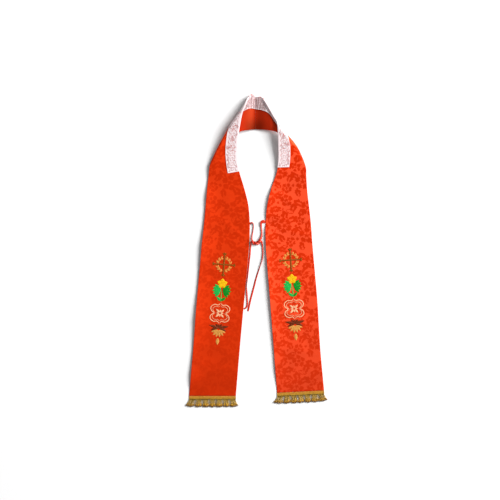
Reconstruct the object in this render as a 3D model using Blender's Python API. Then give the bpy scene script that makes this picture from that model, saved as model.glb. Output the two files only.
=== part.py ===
"""Clerical stole, laid out flat with its neck opening towards +Y and its hems towards -Y.

Each half is one strip of interfaced damask. Its panel lies face up, and past the shoulder the strip turns
over in a soft roll, so that the back of the neck lies lining side up. The strip is drawn in its flat cut,
between a neck edge and an outer edge, and Half.lay turns the cut over the shoulder roll. Lining and lace
are made from the same points as the damask, moved out along its surface.

Dimensions are in millimetres here and become metres in the meshes. The finished meshes are moved by MIDDLE,
so that the origin is at the middle of the whole stole, on the surface that it lies on.
"""

import math

import bpy
import numpy as np

MM = 0.001
MIDDLE = (1.5, 0.8, 0.0)  # middle of the stole in the tables below

# Cloth
WALL = 2.0  # damask, interfacing and lining of a panel, sewn as one
LINING = 1.0
LACE = 1.0
SEAM_GAP = 0.3
LACE_WIDTH = 41.0  # each flange of the lace, from the neck edge

# Shoulder roll and the rise of the fronts towards it
FRONT_TOP = 38.0
NAPE_DIP = 8.0  # how far the fronts sink again where they meet at the nape
NAPE_START_Y, NAPE_END_Y = 450.0, 545.0
CLIMB_START_Y = 196.0
CLIMB_END_Y = 511.0
CENTRE_BACK_HEIGHT = 1.7
CREASE_SOFTNESS = 7.0  # distance over which the centre-back crease is rounded
CREASE_POWER = 1.8
SEAM_REACH = 10.0  # how near the centre-back seam the layers are stacked straight up

# Hem fringe
HEADER_DEPTH = 12.5
HEADER_HEIGHT = 2.6
STRAND_LENGTH = 28.5
STRAND_LOW, STRAND_HIGH = 0.3, 2.3
STRAND_GROUPS = 7
STRANDS_IN_GROUP = 8
STRAND_SHARE = 0.62  # share of the pitch that a strand fills
STRAND_PINCH = 0.80  # a group's width at its waist, as a share of its width at the header

# Tie ribbons, as round tubes of the same bulk
TIE_RADIUS = 2.2
TIE_STEP = 10.0
TWIST_RADIUS = 3.1
TWIST_TURNS = 1.5
TWIST_HEIGHT = 5.6
TWIST_STEPS = 12

# Grid of each half: rows run from the neck edge to the outer edge
PANEL_ROWS, RISE_ROWS, CLIMB_ROWS, ROLL_ROWS, BACK_ROWS = 8, 5, 10, 9, 11
LACE_ROW = PANEL_ROWS + RISE_ROWS  # rows are level up to the lace's end, and fan round to the roll above it
ROLLED_ROW = LACE_ROW + CLIMB_ROWS + ROLL_ROWS
LACE_COLUMNS, BODY_COLUMNS = 4, 6
DENSE = 600
RISING = 455  # of the DENSE points of an edge, those that surely lie on the front, hem first

CENTRE_SEAM_X, SEAM_TOP_Y, SEAM_LOW_Y = -2.0, 537.5, 425.5

# Edges of each half, hem to centre back. Columns: place, layer, x, y. The layer says whether the point is
# on the front or, past the shoulder, on the back of the neck.
LEFT_NECK_EDGE = (
    ("hem", "front", -70.3, -506.8),
    ("panel", "front", -57.0, -346.5),
    ("panel", "front", -41.0, -171.5),
    ("panel", "front", -28.5, -38.5),
    ("below tie", "front", -23.0, 38.5),
    ("tie", "front", -21.8, 94.5),
    ("waist", "front", -26.2, 157.5),
    ("waist", "front", -40.2, 217.0),
    ("lace end", "front", -58.0, 276.5),
    ("neck", "front", -64.8, 318.5),
    ("neck", "front", -65.4, 360.5),
    ("neck", "front", -59.2, 421.8),
    ("nape", "front", -47.0, 484.0),
    ("nape", "front", -34.5, 519.0),
    ("nape", "back", -14.0, 548.0),
    ("centre back", "back", CENTRE_SEAM_X, SEAM_TOP_Y),
)
LEFT_LACE_EDGE = (
    ("hem", "front", -111.0, -506.8),
    ("panel", "front", -98.0, -346.5),
    ("panel", "front", -82.0, -171.5),
    ("panel", "front", -69.5, -38.5),
    ("below tie", "front", -64.0, 38.5),
    ("tie", "front", -62.8, 94.5),
    ("waist", "front", -67.2, 157.5),
    ("waist", "front", -81.0, 217.0),
    ("lace end", "front", -98.3, 272.0),
    ("neck", "front", -104.5, 315.0),
    ("neck", "front", -106.4, 344.0),
    ("neck", "front", -104.0, 384.0),
    ("neck", "front", -98.5, 416.5),
    ("nape", "back", -46.2, 486.0),
    ("nape", "back", -21.7, 498.5),
    ("centre back", "back", CENTRE_SEAM_X, SEAM_TOP_Y - LACE_WIDTH),
)
LEFT_OUTER_EDGE = (
    ("hem", "front", -234.5, -506.8),
    ("panel", "front", -220.5, -346.5),
    ("panel", "front", -207.2, -171.5),
    ("panel", "front", -195.3, -38.5),
    ("panel", "front", -188.3, 38.5),
    ("panel", "front", -182.3, 94.5),
    ("panel", "front", -176.4, 157.5),
    ("panel", "front", -171.5, 217.0),
    ("shoulder", "front", -166.6, 262.5),
    ("shoulder", "front", -163.5, 290.0),
    ("under the front", "back", -58.4, 415.8),
    ("back", "back", -30.1, 422.6),
    ("centre back", "back", CENTRE_SEAM_X, SEAM_LOW_Y),
)
RIGHT_NECK_EDGE = (
    ("hem", "front", 73.1, -495.9),
    ("panel", "front", 61.9, -346.5),
    ("panel", "front", 48.6, -171.5),
    ("panel", "front", 37.8, -38.5),
    ("below tie", "front", 33.0, 38.5),
    ("tie", "front", 33.0, 94.5),
    ("waist", "front", 38.5, 157.5),
    ("waist", "front", 52.5, 217.0),
    ("lace end", "front", 72.2, 276.5),
    ("neck", "front", 78.3, 318.5),
    ("neck", "front", 78.3, 360.5),
    ("neck", "front", 76.0, 421.8),
    ("nape", "front", 66.0, 466.2),
    ("nape", "front", 48.0, 502.0),
    ("nape", "back", 18.0, 539.5),
    ("centre back", "back", CENTRE_SEAM_X, SEAM_TOP_Y),
)
RIGHT_LACE_EDGE = (
    ("hem", "front", 114.0, -493.8),
    ("panel", "front", 102.9, -346.5),
    ("panel", "front", 89.6, -171.5),
    ("panel", "front", 78.8, -38.5),
    ("below tie", "front", 74.0, 38.5),
    ("tie", "front", 74.0, 94.5),
    ("waist", "front", 79.5, 157.5),
    ("waist", "front", 93.5, 217.0),
    ("neck", "front", 110.0, 268.0),
    ("lace end", "front", 115.9, 293.3),
    ("neck", "front", 119.0, 322.0),
    ("neck", "front", 119.8, 350.0),
    ("neck", "front", 118.0, 374.0),
    ("nape", "back", 73.5, 444.5),
    ("nape", "back", 48.0, 478.0),
    ("nape", "back", 23.0, 491.5),
    ("centre back", "back", CENTRE_SEAM_X, SEAM_TOP_Y - LACE_WIDTH),
)
RIGHT_OUTER_EDGE = (
    ("hem", "front", 238.4, -487.6),
    ("panel", "front", 225.4, -346.5),
    ("panel", "front", 214.6, -171.5),
    ("panel", "front", 203.0, -38.5),
    ("panel", "front", 196.4, 38.5),
    ("panel", "front", 192.5, 94.5),
    ("panel", "front", 185.5, 157.5),
    ("panel", "front", 178.9, 217.0),
    ("shoulder", "front", 176.1, 262.5),
    ("shoulder", "front", 174.8, 290.5),
    ("under the front", "back", 74.6, 413.7),
    ("back", "back", 39.6, 422.6),
    ("centre back", "back", CENTRE_SEAM_X, SEAM_LOW_Y),
)

# Height up the stole at which the lace ends: at the neck edge, at the lace's edge, at the outer edge.
LEFT_LACE_END = (278.5, 272.0, 262.0)
RIGHT_LACE_END = (292.0, 293.3, 284.0)

# Shoulder roll of each half: radius at the outer edge, radius at the neck, fullness drawn up past it.
LEFT_ROLL = (6.0, 12.0, 1.0)
RIGHT_ROLL = (7.5, 13.0, 1.25)

# Outer side of each shoulder roll seen from above, outer end to neck. Columns: x, y.
LEFT_SHOULDER = ((-160.5, 308.0), (-130.0, 370.5), (-93.5, 434.0), (-59.5, 482.5), (-21.0, 547.0))
RIGHT_SHOULDER = ((172.0, 312.0), (141.0, 369.0), (94.0, 424.0), (63.5, 469.0), (26.5, 536.0))

# Routes of the ties. Columns: x, y, height of the tube's middle. Each runs from the cloth's edge to the
# twist, and from the twist to its free end.
LEFT_TIE_ABOVE = (
    (-21.0, 94.0, 2.4),
    (-17.0, 99.0, 3.0),
    (-12.0, 99.6, 3.4),
    (-8.6, 92.0, 3.0),
    (-9.2, 78.0, 2.6),
    (-11.5, 63.0, 2.8),
    (-14.2, 49.0, 4.0),
)
LEFT_TIE_BELOW = (
    (20.0, 26.0, 3.8),
    (23.0, 13.0, 2.5),
    (24.2, -8.0, 2.4),
    (21.7, -31.5, 2.4),
    (14.0, -54.3, 2.4),
    (6.0, -77.0, 2.4),
    (-0.4, -98.0, 2.4),
    (-6.3, -122.5, 2.4),
    (-13.3, -148.8, 2.4),
    (-20.3, -175.0, 2.4),
    (-24.9, -196.0, 2.4),
    (-28.0, -210.7, 2.4),
)
RIGHT_TIE_ABOVE = (
    (32.4, 100.5, 2.4),
    (27.5, 103.5, 3.4),
    (21.8, 103.0, 4.0),
    (18.4, 97.0, 3.6),
    (18.2, 86.0, 3.0),
    (20.0, 73.5, 2.6),
    (20.4, 60.0, 2.8),
    (18.8, 49.0, 4.0),
)
RIGHT_TIE_BELOW = (
    (-18.2, 22.5, 3.8),
    (-19.3, 12.0, 2.5),
    (-20.8, -8.0, 2.4),
    (-23.6, -32.0, 2.4),
    (-27.0, -63.0, 2.4),
    (-30.3, -96.0, 2.4),
    (-32.2, -122.5, 2.4),
    (-31.6, -148.0, 2.4),
    (-30.2, -175.0, 2.4),
    (-31.4, -192.0, 2.4),
    (-36.0, -200.5, 2.4),
    (-41.2, -202.3, 2.4),
)
TWIST_AXIS = ((-16.0, 35.0), (-7.0, 28.0), (3.5, 27.0), (16.0, 37.0))


def eased(share):
    """Smooth step from 0 to 1, level at both ends."""
    share = np.clip(share, 0.0, 1.0)
    return share * share * (3.0 - 2.0 * share)


def smooth_path(points, count):
    """Centripetal Catmull-Rom curve through the points, as `count` points at equal steps of length."""
    points = np.asarray(points, float)
    first = 2.0 * points[0] - points[1]
    last = 2.0 * points[-1] - points[-2]
    padded = np.vstack([first, points, last])
    steps = np.sqrt(np.linalg.norm(np.diff(padded, axis=0), axis=1))
    knots = np.concatenate([[0.0], np.cumsum(steps)])
    dense = []
    for i in range(1, len(padded) - 2):
        p0, p1, p2, p3 = padded[i - 1 : i + 3]
        k0, k1, k2, k3 = knots[i - 1 : i + 3]
        k = np.linspace(k1, k2, 48, endpoint=False)[:, None]
        a1 = (k1 - k) / (k1 - k0) * p0 + (k - k0) / (k1 - k0) * p1
        a2 = (k2 - k) / (k2 - k1) * p1 + (k - k1) / (k2 - k1) * p2
        a3 = (k3 - k) / (k3 - k2) * p2 + (k - k2) / (k3 - k2) * p3
        b1 = (k2 - k) / (k2 - k0) * a1 + (k - k0) / (k2 - k0) * a2
        b2 = (k3 - k) / (k3 - k1) * a2 + (k - k1) / (k3 - k1) * a3
        dense.append((k2 - k) / (k2 - k1) * b1 + (k - k1) / (k2 - k1) * b2)
    dense.append(points[-1:])
    return resampled(np.vstack(dense), np.linspace(0.0, 1.0, count))


def resampled(path, shares):
    """Points of a polyline at the given shares of its length."""
    lengths = np.concatenate([[0.0], np.cumsum(np.linalg.norm(np.diff(path, axis=0), axis=1))])
    wanted = np.asarray(shares) * lengths[-1]
    return np.stack([np.interp(wanted, lengths, path[:, k]) for k in range(path.shape[1])], axis=1)


class Half:
    """One half of the stole: its flat cut, and the shoulder roll that lays it out."""

    def __init__(self, shoulder, edges, lace_end, roll, inward):
        """inward is +1 where the outer edge is left of the neck edge on the way up from the hem, else -1."""
        shoulder = np.asarray(shoulder)
        self.roll_low, self.roll_high, self.fullness = roll
        self.start = shoulder[0]
        along = shoulder[-1] - shoulder[0]
        self.length = np.linalg.norm(along)
        self.along = along / self.length
        self.out = inward * np.array([-self.along[1], self.along[0]])
        curve = smooth_path(shoulder, DENSE) - self.start
        self.bow_u = curve @ self.along
        self.bow_v = curve @ self.out
        self.inward = inward
        self.curves = [self.edge_curve(edge) for edge in edges]
        self.lace_end = lace_end
        self.grid = self.make_grid()

    def roll(self, u):
        """Radius of the shoulder roll, and how far out its axis lies, at u along the shoulder."""
        radius = self.roll_low + (self.roll_high - self.roll_low) * np.clip(u / self.length, 0.0, 1.0)
        return radius, np.interp(u, self.bow_u, self.bow_v) - radius

    def fold_place(self, points):
        """Coordinates of flat points along the shoulder and past the start of its roll."""
        rel = points - self.start
        u = rel @ self.along
        radius, axis_v = self.roll(u)
        return u, rel @ self.out - axis_v, radius, axis_v

    def turned(self, points):
        """How far the cloth has turned over at flat points: 0 on the front, 1 on the back."""
        _, past, radius, _ = self.fold_place(points)
        return past / (math.pi * radius)

    def unfolded(self, points, on_back):
        """Flat-cut places of laid-out points; on_back is true where they lie past the shoulder."""
        u, past, radius, axis_v = self.fold_place(points)
        on_roll = radius * np.arcsin(np.clip(past / radius, 0.0, 1.0))
        front = np.where(past > 0.0, on_roll, past)
        back = math.pi * radius - np.where(past > 0.0, on_roll, past * self.fullness)
        v = np.where(on_back, back, front) + axis_v
        return self.start + u[:, None] * self.along + v[:, None] * self.out

    def edge_curve(self, edge):
        """Flat-cut curve of an edge table."""
        on_back = np.array([layer == "back" for _, layer, _, _ in edge])
        points = np.array([(x, y) for _, _, x, y in edge])
        return smooth_path(self.unfolded(points, on_back), DENSE)

    def front_height(self, y):
        """Height of the damask face on the front: it rises to the neck and sinks a little at the nape."""
        climb = (FRONT_TOP - WALL) * eased((y - CLIMB_START_Y) / (CLIMB_END_Y - CLIMB_START_Y))
        return WALL + climb - NAPE_DIP * eased((y - NAPE_START_Y) / (NAPE_END_Y - NAPE_START_Y))

    def laid(self, flat):
        """Where flat points of the damask face lie once the strip is turned over at the shoulder."""
        u, past, radius, axis_v = self.fold_place(flat)
        turn = past / radius
        v_roll = axis_v + radius * np.sin(turn)
        v_back = axis_v - (past - math.pi * radius) / self.fullness
        v_front = past + axis_v
        v = np.where(past <= 0.0, v_front, np.where(turn < math.pi, v_roll, v_back))
        plan = self.start + u[:, None] * self.along + v[:, None] * self.out
        fold_start = self.start + u[:, None] * self.along + axis_v[:, None] * self.out
        fold_height = self.front_height(fold_start[:, 1])
        reach = (fold_start[:, 0] - CENTRE_SEAM_X) / self.out[0]
        share = 1.0 - (axis_v - v_back) / reach
        softness = CREASE_SOFTNESS / reach
        rounded = np.sqrt(np.clip(share, 0.0, 1.0) ** 2 + softness**2) - softness
        rounded /= np.sqrt(1.0 + softness**2) - softness
        valley = 1.0 - (1.0 - rounded) ** CREASE_POWER
        low = fold_height - 2.0 * radius
        z_back = CENTRE_BACK_HEIGHT + (low - CENTRE_BACK_HEIGHT) * valley
        z_roll = fold_height - radius * (1.0 - np.cos(turn))
        z_front = self.front_height(plan[:, 1])
        z = np.where(past <= 0.0, z_front, np.where(turn < math.pi, z_roll, z_back))
        return np.column_stack([plan, z])

    def facing(self, flat, step=0.5):
        """Unit normals of the damask face, pointing out of it and square to X at the centre-back seam."""
        ahead = self.laid(flat + [step, 0.0]) - self.laid(flat - [step, 0.0])
        aside = self.laid(flat + [0.0, step]) - self.laid(flat - [0.0, step])
        normal = np.cross(ahead, aside)
        normal /= np.linalg.norm(normal, axis=1)[:, None]
        normal[:, 0] *= eased(np.abs(self.laid(flat)[:, 0] - CENTRE_SEAM_X) / SEAM_REACH)
        return normal / np.linalg.norm(normal, axis=1)[:, None]

    def lay(self, flat, lift):
        """Flat points (any shape, 2) laid out and moved `lift` out of the damask face."""
        shape = flat.shape[:-1]
        points = flat.reshape(-1, 2)
        lifts = np.broadcast_to(lift, shape).reshape(-1, 1)
        return (self.laid(points) + lifts * self.facing(points)).reshape(*shape, 3)

    def stations(self, edge, lace_end_y):
        """Shares of an edge's length at which the rows meet it.

        The rows are level up to the lace's end, fan to the roll, cross it, and fan to the centre back.
        """
        shares = np.linspace(0.0, 1.0, DENSE)
        turn = self.turned(edge)
        rise_at, lace_at = np.interp([CLIMB_START_Y, lace_end_y], edge[:RISING, 1], shares[:RISING])
        past_lace = shares > lace_at
        start = shares[np.argmax(past_lace & (turn > 0.0))]
        end = shares[np.argmax(past_lace & (turn > 1.0))]
        rolling = (shares >= start) & (shares <= end)
        panel = np.linspace(0.0, rise_at, PANEL_ROWS, endpoint=False)
        rise = np.linspace(rise_at, lace_at, RISE_ROWS, endpoint=False)
        climb = np.linspace(lace_at, start, CLIMB_ROWS, endpoint=False)
        roll = np.interp(np.linspace(0.0, 1.0, ROLL_ROWS, endpoint=False), turn[rolling], shares[rolling])
        back = np.linspace(end, 1.0, BACK_ROWS)
        return np.concatenate([panel, rise, climb, roll, back])

    def make_grid(self):
        """Flat grid (rows, columns, 2): from the neck edge to the lace's edge, then to the outer edge."""
        neck, lace, outer = (
            resampled(curve, self.stations(curve, y)) for curve, y in zip(self.curves, self.lace_end)
        )
        inner_part = np.linspace(0.0, 1.0, LACE_COLUMNS + 1)[None, :, None]
        outer_part = np.linspace(0.0, 1.0, BODY_COLUMNS + 1)[None, 1:, None]
        near = neck[:, None] + (lace - neck)[:, None] * inner_part
        far = lace[:, None] + (outer - lace)[:, None] * outer_part
        grid = np.concatenate([near, far], axis=1)
        seam_y = np.concatenate(
            [
                SEAM_TOP_Y - LACE_WIDTH * inner_part.ravel(),
                SEAM_TOP_Y - LACE_WIDTH + (SEAM_LOW_Y - SEAM_TOP_Y + LACE_WIDTH) * outer_part.ravel(),
            ]
        )
        seam_x = CENTRE_SEAM_X - 0.5 * self.inward * SEAM_GAP
        seam = self.unfolded(np.column_stack([np.full_like(seam_y, seam_x), seam_y]), True)
        pull = np.linspace(0.0, 1.0, BACK_ROWS)[:, None, None] ** 1.5
        grid[-BACK_ROWS:] += (seam - grid[-1]) * pull
        return grid


LEFT = Half(
    LEFT_SHOULDER, (LEFT_NECK_EDGE, LEFT_LACE_EDGE, LEFT_OUTER_EDGE), LEFT_LACE_END, LEFT_ROLL, 1.0
)
RIGHT = Half(
    RIGHT_SHOULDER, (RIGHT_NECK_EDGE, RIGHT_LACE_EDGE, RIGHT_OUTER_EDGE), RIGHT_LACE_END, RIGHT_ROLL, -1.0
)


def material(name, colour, roughness, metallic=0.0):
    made = bpy.data.materials.new(name)
    made.use_nodes = True
    shader = made.node_tree.nodes["Principled BSDF"]
    shader.inputs["Base Color"].default_value = (*colour, 1.0)
    shader.inputs["Roughness"].default_value = roughness
    shader.inputs["Metallic"].default_value = metallic
    return made


def volume(points, faces):
    """Signed volume inside a closed mesh of triangles, positive when its faces point out."""
    a, b, c = (points[faces[:, k]] for k in range(3))
    return np.einsum("ij,ij->", a, np.cross(b, c)) / 6.0


def add_mesh(name, points, faces, finish):
    """One closed mesh from millimetre points and triangles, its faces turned outwards."""
    points = np.asarray(points, float)
    faces = np.asarray(faces, int)
    if volume(points - points.mean(axis=0), faces) < 0.0:
        faces = faces[:, ::-1]
    mesh = bpy.data.meshes.new(name)
    mesh.from_pydata(((points - MIDDLE) * MM).tolist(), [], faces.tolist())
    mesh.materials.append(finish)
    mesh.shade_smooth()
    mesh.set_sharp_from_angle(angle=math.radians(40.0))
    made = bpy.data.objects.new(name, mesh)
    bpy.context.scene.collection.objects.link(made)
    return made


def quads_split(a, b, c, d):
    """Two triangles for each quad a-b-c-d, cut from a to c."""
    return np.concatenate([np.stack([a, b, c], axis=1), np.stack([a, c, d], axis=1)])


def wall(name, upper, lower, finish):
    """Closed wall between two grids of points (rows, columns, 3)."""
    rows, columns = upper.shape[:2]
    index = np.arange(rows * columns).reshape(rows, columns)
    under = index + rows * columns
    near, far = index[:-1, :-1].ravel(), index[1:, 1:].ravel()
    aside, ahead = index[:-1, 1:].ravel(), index[1:, :-1].ravel()
    top = quads_split(near, ahead, far, aside)
    rim = np.concatenate([index[0, :-1], index[:-1, -1], index[-1, :0:-1], index[:0:-1, 0]])
    after = np.roll(rim, -1)
    sides = quads_split(rim, after, after + under[0, 0], rim + under[0, 0])
    faces = np.concatenate([top, top[:, ::-1] + under[0, 0], sides])
    return add_mesh(name, np.concatenate([upper.reshape(-1, 3), lower.reshape(-1, 3)]), faces, finish)


def stole_half(name, half, finish):
    """Damask, interfacing and panel lining of one half, hem to centre-back seam."""
    return wall(name, half.lay(half.grid, 0.0), half.lay(half.grid, -WALL), finish)


def neck_lining(name, half, finish):
    """Satin inside the back of the neck, from the shoulder roll to the centre-back seam."""
    flat = half.grid[ROLLED_ROW:]
    top = -WALL - SEAM_GAP
    return wall(name, half.lay(flat, top), half.lay(flat, top - LINING), finish)


def collar_lace(name, half, finish):
    """Lace strip folded over the neck edge: one flange on the damask, the other on the lining.

    Its section at each row is a closed loop: out along the damask, round the neck edge, back along the
    lining, and the same way home inside itself.
    """
    flat = half.grid[LACE_ROW:, : LACE_COLUMNS + 1]
    rows = len(flat)
    rolled = (np.arange(rows) + LACE_ROW - ROLLED_ROW + ROLL_ROWS) / (ROLL_ROWS - 1)
    cloth = np.repeat(WALL + eased(rolled) * (SEAM_GAP + LINING), LACE_COLUMNS + 1).reshape(rows, -1)
    neck = half.lay(flat[:, 0], 0.0)
    outwards = half.inward * np.cross(np.gradient(neck, axis=0), half.facing(flat[:, 0]))
    outwards[-1] = neck[-1] - half.lay(flat[-1, 1], 0.0)  # along the seam
    outwards /= np.linalg.norm(outwards, axis=1)[:, None]
    skins = []
    for gap in (SEAM_GAP, SEAM_GAP + LACE):
        upper = half.lay(flat[:, ::-1], gap)
        lifts = (0.5 * gap, -0.5 * cloth[:, 0], -cloth[:, 0] - 0.5 * gap)
        round_edge = [half.lay(flat[:, 0], lift) + gap * outwards for lift in lifts]
        lower = half.lay(flat, -cloth - gap)
        skins.append(np.concatenate([upper, np.stack(round_edge, axis=1), lower], axis=1))
    inner, outer = skins
    loop = np.concatenate([outer, inner[:, ::-1]], axis=1)
    count = loop.shape[1]
    index = np.arange(rows * count).reshape(rows, count)
    ring = np.roll(index, -1, axis=1)
    # Each quad is cut the same way as the cloth's own quad under it, so that the skins stay parallel.
    along = np.zeros(count, bool)
    half_loop = count // 2
    along[LACE_COLUMNS + 3 : half_loop] = True
    along[half_loop : half_loop + LACE_COLUMNS + 1] = False
    along[half_loop + LACE_COLUMNS + 3 :] = True
    a, b, c, d = index[:-1], index[1:], ring[1:], ring[:-1]
    kept = quads_split(a[:, along].ravel(), b[:, along].ravel(), c[:, along].ravel(), d[:, along].ravel())
    other = ~along
    crossed = quads_split(
        b[:, other].ravel(), c[:, other].ravel(), d[:, other].ravel(), a[:, other].ravel()
    )
    steps = np.arange(half_loop - 1)
    caps = [quads_split(steps, steps + 1, count - 2 - steps, count - 1 - steps)]
    last = (rows - 1) * count
    caps.append(caps[0][:, ::-1] + last)
    return add_mesh(name, loop.reshape(-1, 3), np.concatenate([kept, crossed, *caps]), finish)


def fringe(name, half, tip_spread, finish):
    """Hem fringe: a narrow braid below the hem, with its strands growing out of its front edge.

    The strands are gathered in groups that close up at the waist and open again at the tips, which spread
    past the braid's ends by tip_spread, at the neck side and at the outer side.
    """
    neck_end, outer_end = half.grid[0, 0], half.grid[0, -1]
    across = outer_end - neck_end
    width = np.linalg.norm(across)
    across /= width
    down = half.inward * np.array([-across[1], across[0]])
    strands = STRAND_GROUPS * STRANDS_IN_GROUP
    pitch = width / strands
    middles = (np.arange(strands) + 0.5) * pitch
    group_middles = (np.arange(strands) // STRANDS_IN_GROUP + 0.5) * STRANDS_IN_GROUP * pitch
    pinched = group_middles + (middles - group_middles) * STRAND_PINCH
    share = middles / width * 2.0 - 1.0
    spread = np.where(share < 0.0, -tip_spread[0], tip_spread[1]) * np.abs(share) ** 3
    # Rings down a strand. Columns: share of its length, pinch, spread, width share, low, high.
    rings = (
        (0.0, 0.0, 0.0, 1.0, STRAND_LOW, STRAND_HIGH),
        (0.35, 1.0, 0.25, 0.9, 0.4, 2.5),
        (0.70, 0.6, 0.65, 1.0, 0.35, 2.6),
        (1.0, 0.0, 1.0, 0.6, 0.4, 1.9),
    )
    points = []

    def place(x, y, z):
        flat = neck_end + across * x + down * y
        points.append((flat[0], flat[1], z))
        return len(points) - 1

    half_width = 0.5 * STRAND_SHARE * pitch
    sides = np.column_stack([middles - half_width, middles + half_width])
    breaks = np.concatenate([[0.0], sides.ravel(), [width]])
    back_low = [place(x, SEAM_GAP, 0.0) for x in breaks]
    back_high = [place(x, SEAM_GAP, HEADER_HEIGHT) for x in breaks]
    front_low = [place(x, HEADER_DEPTH, STRAND_LOW) for x in breaks]
    front_high = [place(x, HEADER_DEPTH, STRAND_HIGH) for x in breaks]
    faces = []

    def quad(a, b, c, d):
        faces.extend([(a, b, c), (a, c, d)])

    for k in range(len(breaks) - 1):
        quad(back_high[k], front_high[k], front_high[k + 1], back_high[k + 1])
        quad(back_low[k], back_low[k + 1], front_low[k + 1], front_low[k])
        quad(back_low[k], back_high[k], back_high[k + 1], back_low[k + 1])
        if k % 2 == 0:
            quad(front_low[k], front_low[k + 1], front_high[k + 1], front_high[k])
    quad(back_low[0], front_low[0], front_high[0], back_high[0])
    quad(back_low[-1], back_high[-1], front_high[-1], front_low[-1])
    for i in range(strands):
        k = 2 * i + 1
        ring = (front_low[k], front_low[k + 1], front_high[k + 1], front_high[k])
        for along, pinch, spreading, fill, low, high in rings[1:]:
            x = middles[i] + pinch * (pinched[i] - middles[i]) + spreading * spread[i]
            y = HEADER_DEPTH + along * STRAND_LENGTH
            w = fill * half_width
            corners = ((x - w, low), (x + w, low), (x + w, high), (x - w, high))
            after = tuple(place(corner_x, y, z) for corner_x, z in corners)
            for n in range(4):
                quad(ring[n], ring[(n + 1) % 4], after[(n + 1) % 4], after[n])
            ring = after
        quad(*ring)
    return add_mesh(name, points, faces, finish)


def twist_route(first_phase, backwards):
    """One ribbon's way through the twist: a helix round TWIST_AXIS, starting square to it."""
    axis = smooth_path(TWIST_AXIS, TWIST_STEPS + 1)
    ahead = np.gradient(axis, axis=0)
    ahead /= np.linalg.norm(ahead, axis=1)[:, None]
    side = np.stack([-ahead[:, 1], ahead[:, 0]], axis=1)
    phase = first_phase + np.linspace(0.0, TWIST_TURNS * 2.0 * math.pi, TWIST_STEPS + 1)
    plan = axis + TWIST_RADIUS * np.cos(phase)[:, None] * side
    route = np.column_stack([plan, TWIST_HEIGHT + TWIST_RADIUS * np.sin(phase)])
    return route[::-1] if backwards else route


def tie(name, above, twist, below, finish):
    """Ribbon tie: a round tube along its route, from the cloth's edge through the twist to its free end."""
    upper = smooth_path(np.vstack([above, twist[:1]]), 11)[:-1]
    lower_curve = np.vstack([twist[-1:], below])
    length = np.linalg.norm(np.diff(lower_curve, axis=0), axis=1).sum()
    lower = smooth_path(lower_curve, int(length / TIE_STEP) + 1)[1:]
    route = (np.vstack([upper, twist, lower]) - MIDDLE) * MM
    curve = bpy.data.curves.new(name, "CURVE")
    curve.dimensions = "3D"
    curve.bevel_depth = TIE_RADIUS * MM
    curve.bevel_resolution = 2
    curve.use_fill_caps = True
    spline = curve.splines.new("POLY")
    spline.points.add(len(route) - 1)
    spline.points.foreach_set("co", np.column_stack([route, np.ones(len(route))]).ravel())
    spline.use_smooth = True
    curve.materials.append(finish)
    made = bpy.data.objects.new(name, curve)
    bpy.context.scene.collection.objects.link(made)
    return made


def build():
    for old in list(bpy.data.objects):
        bpy.data.objects.remove(old, do_unlink=True)
    stole_half("stole_left", LEFT, material("damask_left", (0.80, 0.045, 0.010), 0.45))
    stole_half("stole_right", RIGHT, material("damask_right", (0.80, 0.045, 0.010), 0.45))
    neck_lining("lining_left", LEFT, material("satin_left", (0.62, 0.03, 0.008), 0.5))
    neck_lining("lining_right", RIGHT, material("satin_right", (0.62, 0.03, 0.008), 0.5))
    collar_lace("lace_left", LEFT, material("lace_white_left", (0.86, 0.83, 0.82), 0.8))
    collar_lace("lace_right", RIGHT, material("lace_white_right", (0.86, 0.83, 0.82), 0.8))
    fringe("fringe_left", LEFT, (9.0, 15.0), material("gold_left", (0.53, 0.30, 0.06), 0.4, 0.3))
    fringe("fringe_right", RIGHT, (15.0, 12.0), material("gold_right", (0.53, 0.30, 0.06), 0.4, 0.3))
    ribbon = (0.6, 0.03, 0.02)
    left_twist, right_twist = twist_route(0.0, False), twist_route(math.pi, True)
    tie("tie_left", LEFT_TIE_ABOVE, left_twist, LEFT_TIE_BELOW, material("ribbon_left", ribbon, 0.35))
    tie("tie_right", RIGHT_TIE_ABOVE, right_twist, RIGHT_TIE_BELOW, material("ribbon_right", ribbon, 0.35))


build()
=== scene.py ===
"""Looks of a clerical stole that lies flat, its neck towards +Y and its hems towards -Y, in metres."""

import math
from functools import partialmethod, reduce

import bpy
import numpy as np
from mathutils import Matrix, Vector


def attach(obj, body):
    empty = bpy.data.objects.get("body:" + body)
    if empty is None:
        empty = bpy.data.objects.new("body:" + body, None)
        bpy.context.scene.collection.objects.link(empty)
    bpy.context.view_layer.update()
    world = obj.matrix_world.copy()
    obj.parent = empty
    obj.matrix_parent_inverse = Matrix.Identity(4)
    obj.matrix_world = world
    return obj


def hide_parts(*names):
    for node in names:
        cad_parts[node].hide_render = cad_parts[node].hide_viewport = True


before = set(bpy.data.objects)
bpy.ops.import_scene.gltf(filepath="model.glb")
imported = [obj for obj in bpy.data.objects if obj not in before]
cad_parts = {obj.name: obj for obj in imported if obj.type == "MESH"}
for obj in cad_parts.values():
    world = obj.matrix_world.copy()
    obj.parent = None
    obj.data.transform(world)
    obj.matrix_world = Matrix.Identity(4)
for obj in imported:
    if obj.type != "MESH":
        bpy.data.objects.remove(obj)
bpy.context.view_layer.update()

# ---- The two strips ----
# Each half is one strip of floral damask over interfacing, bagged out with satin, so its edges are turned in
# and rounded. It runs from the hem up a panel, turns over at the shoulder in a soft roll, and ends at the
# seam at the centre back, where it lies with its satin side up.

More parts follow.
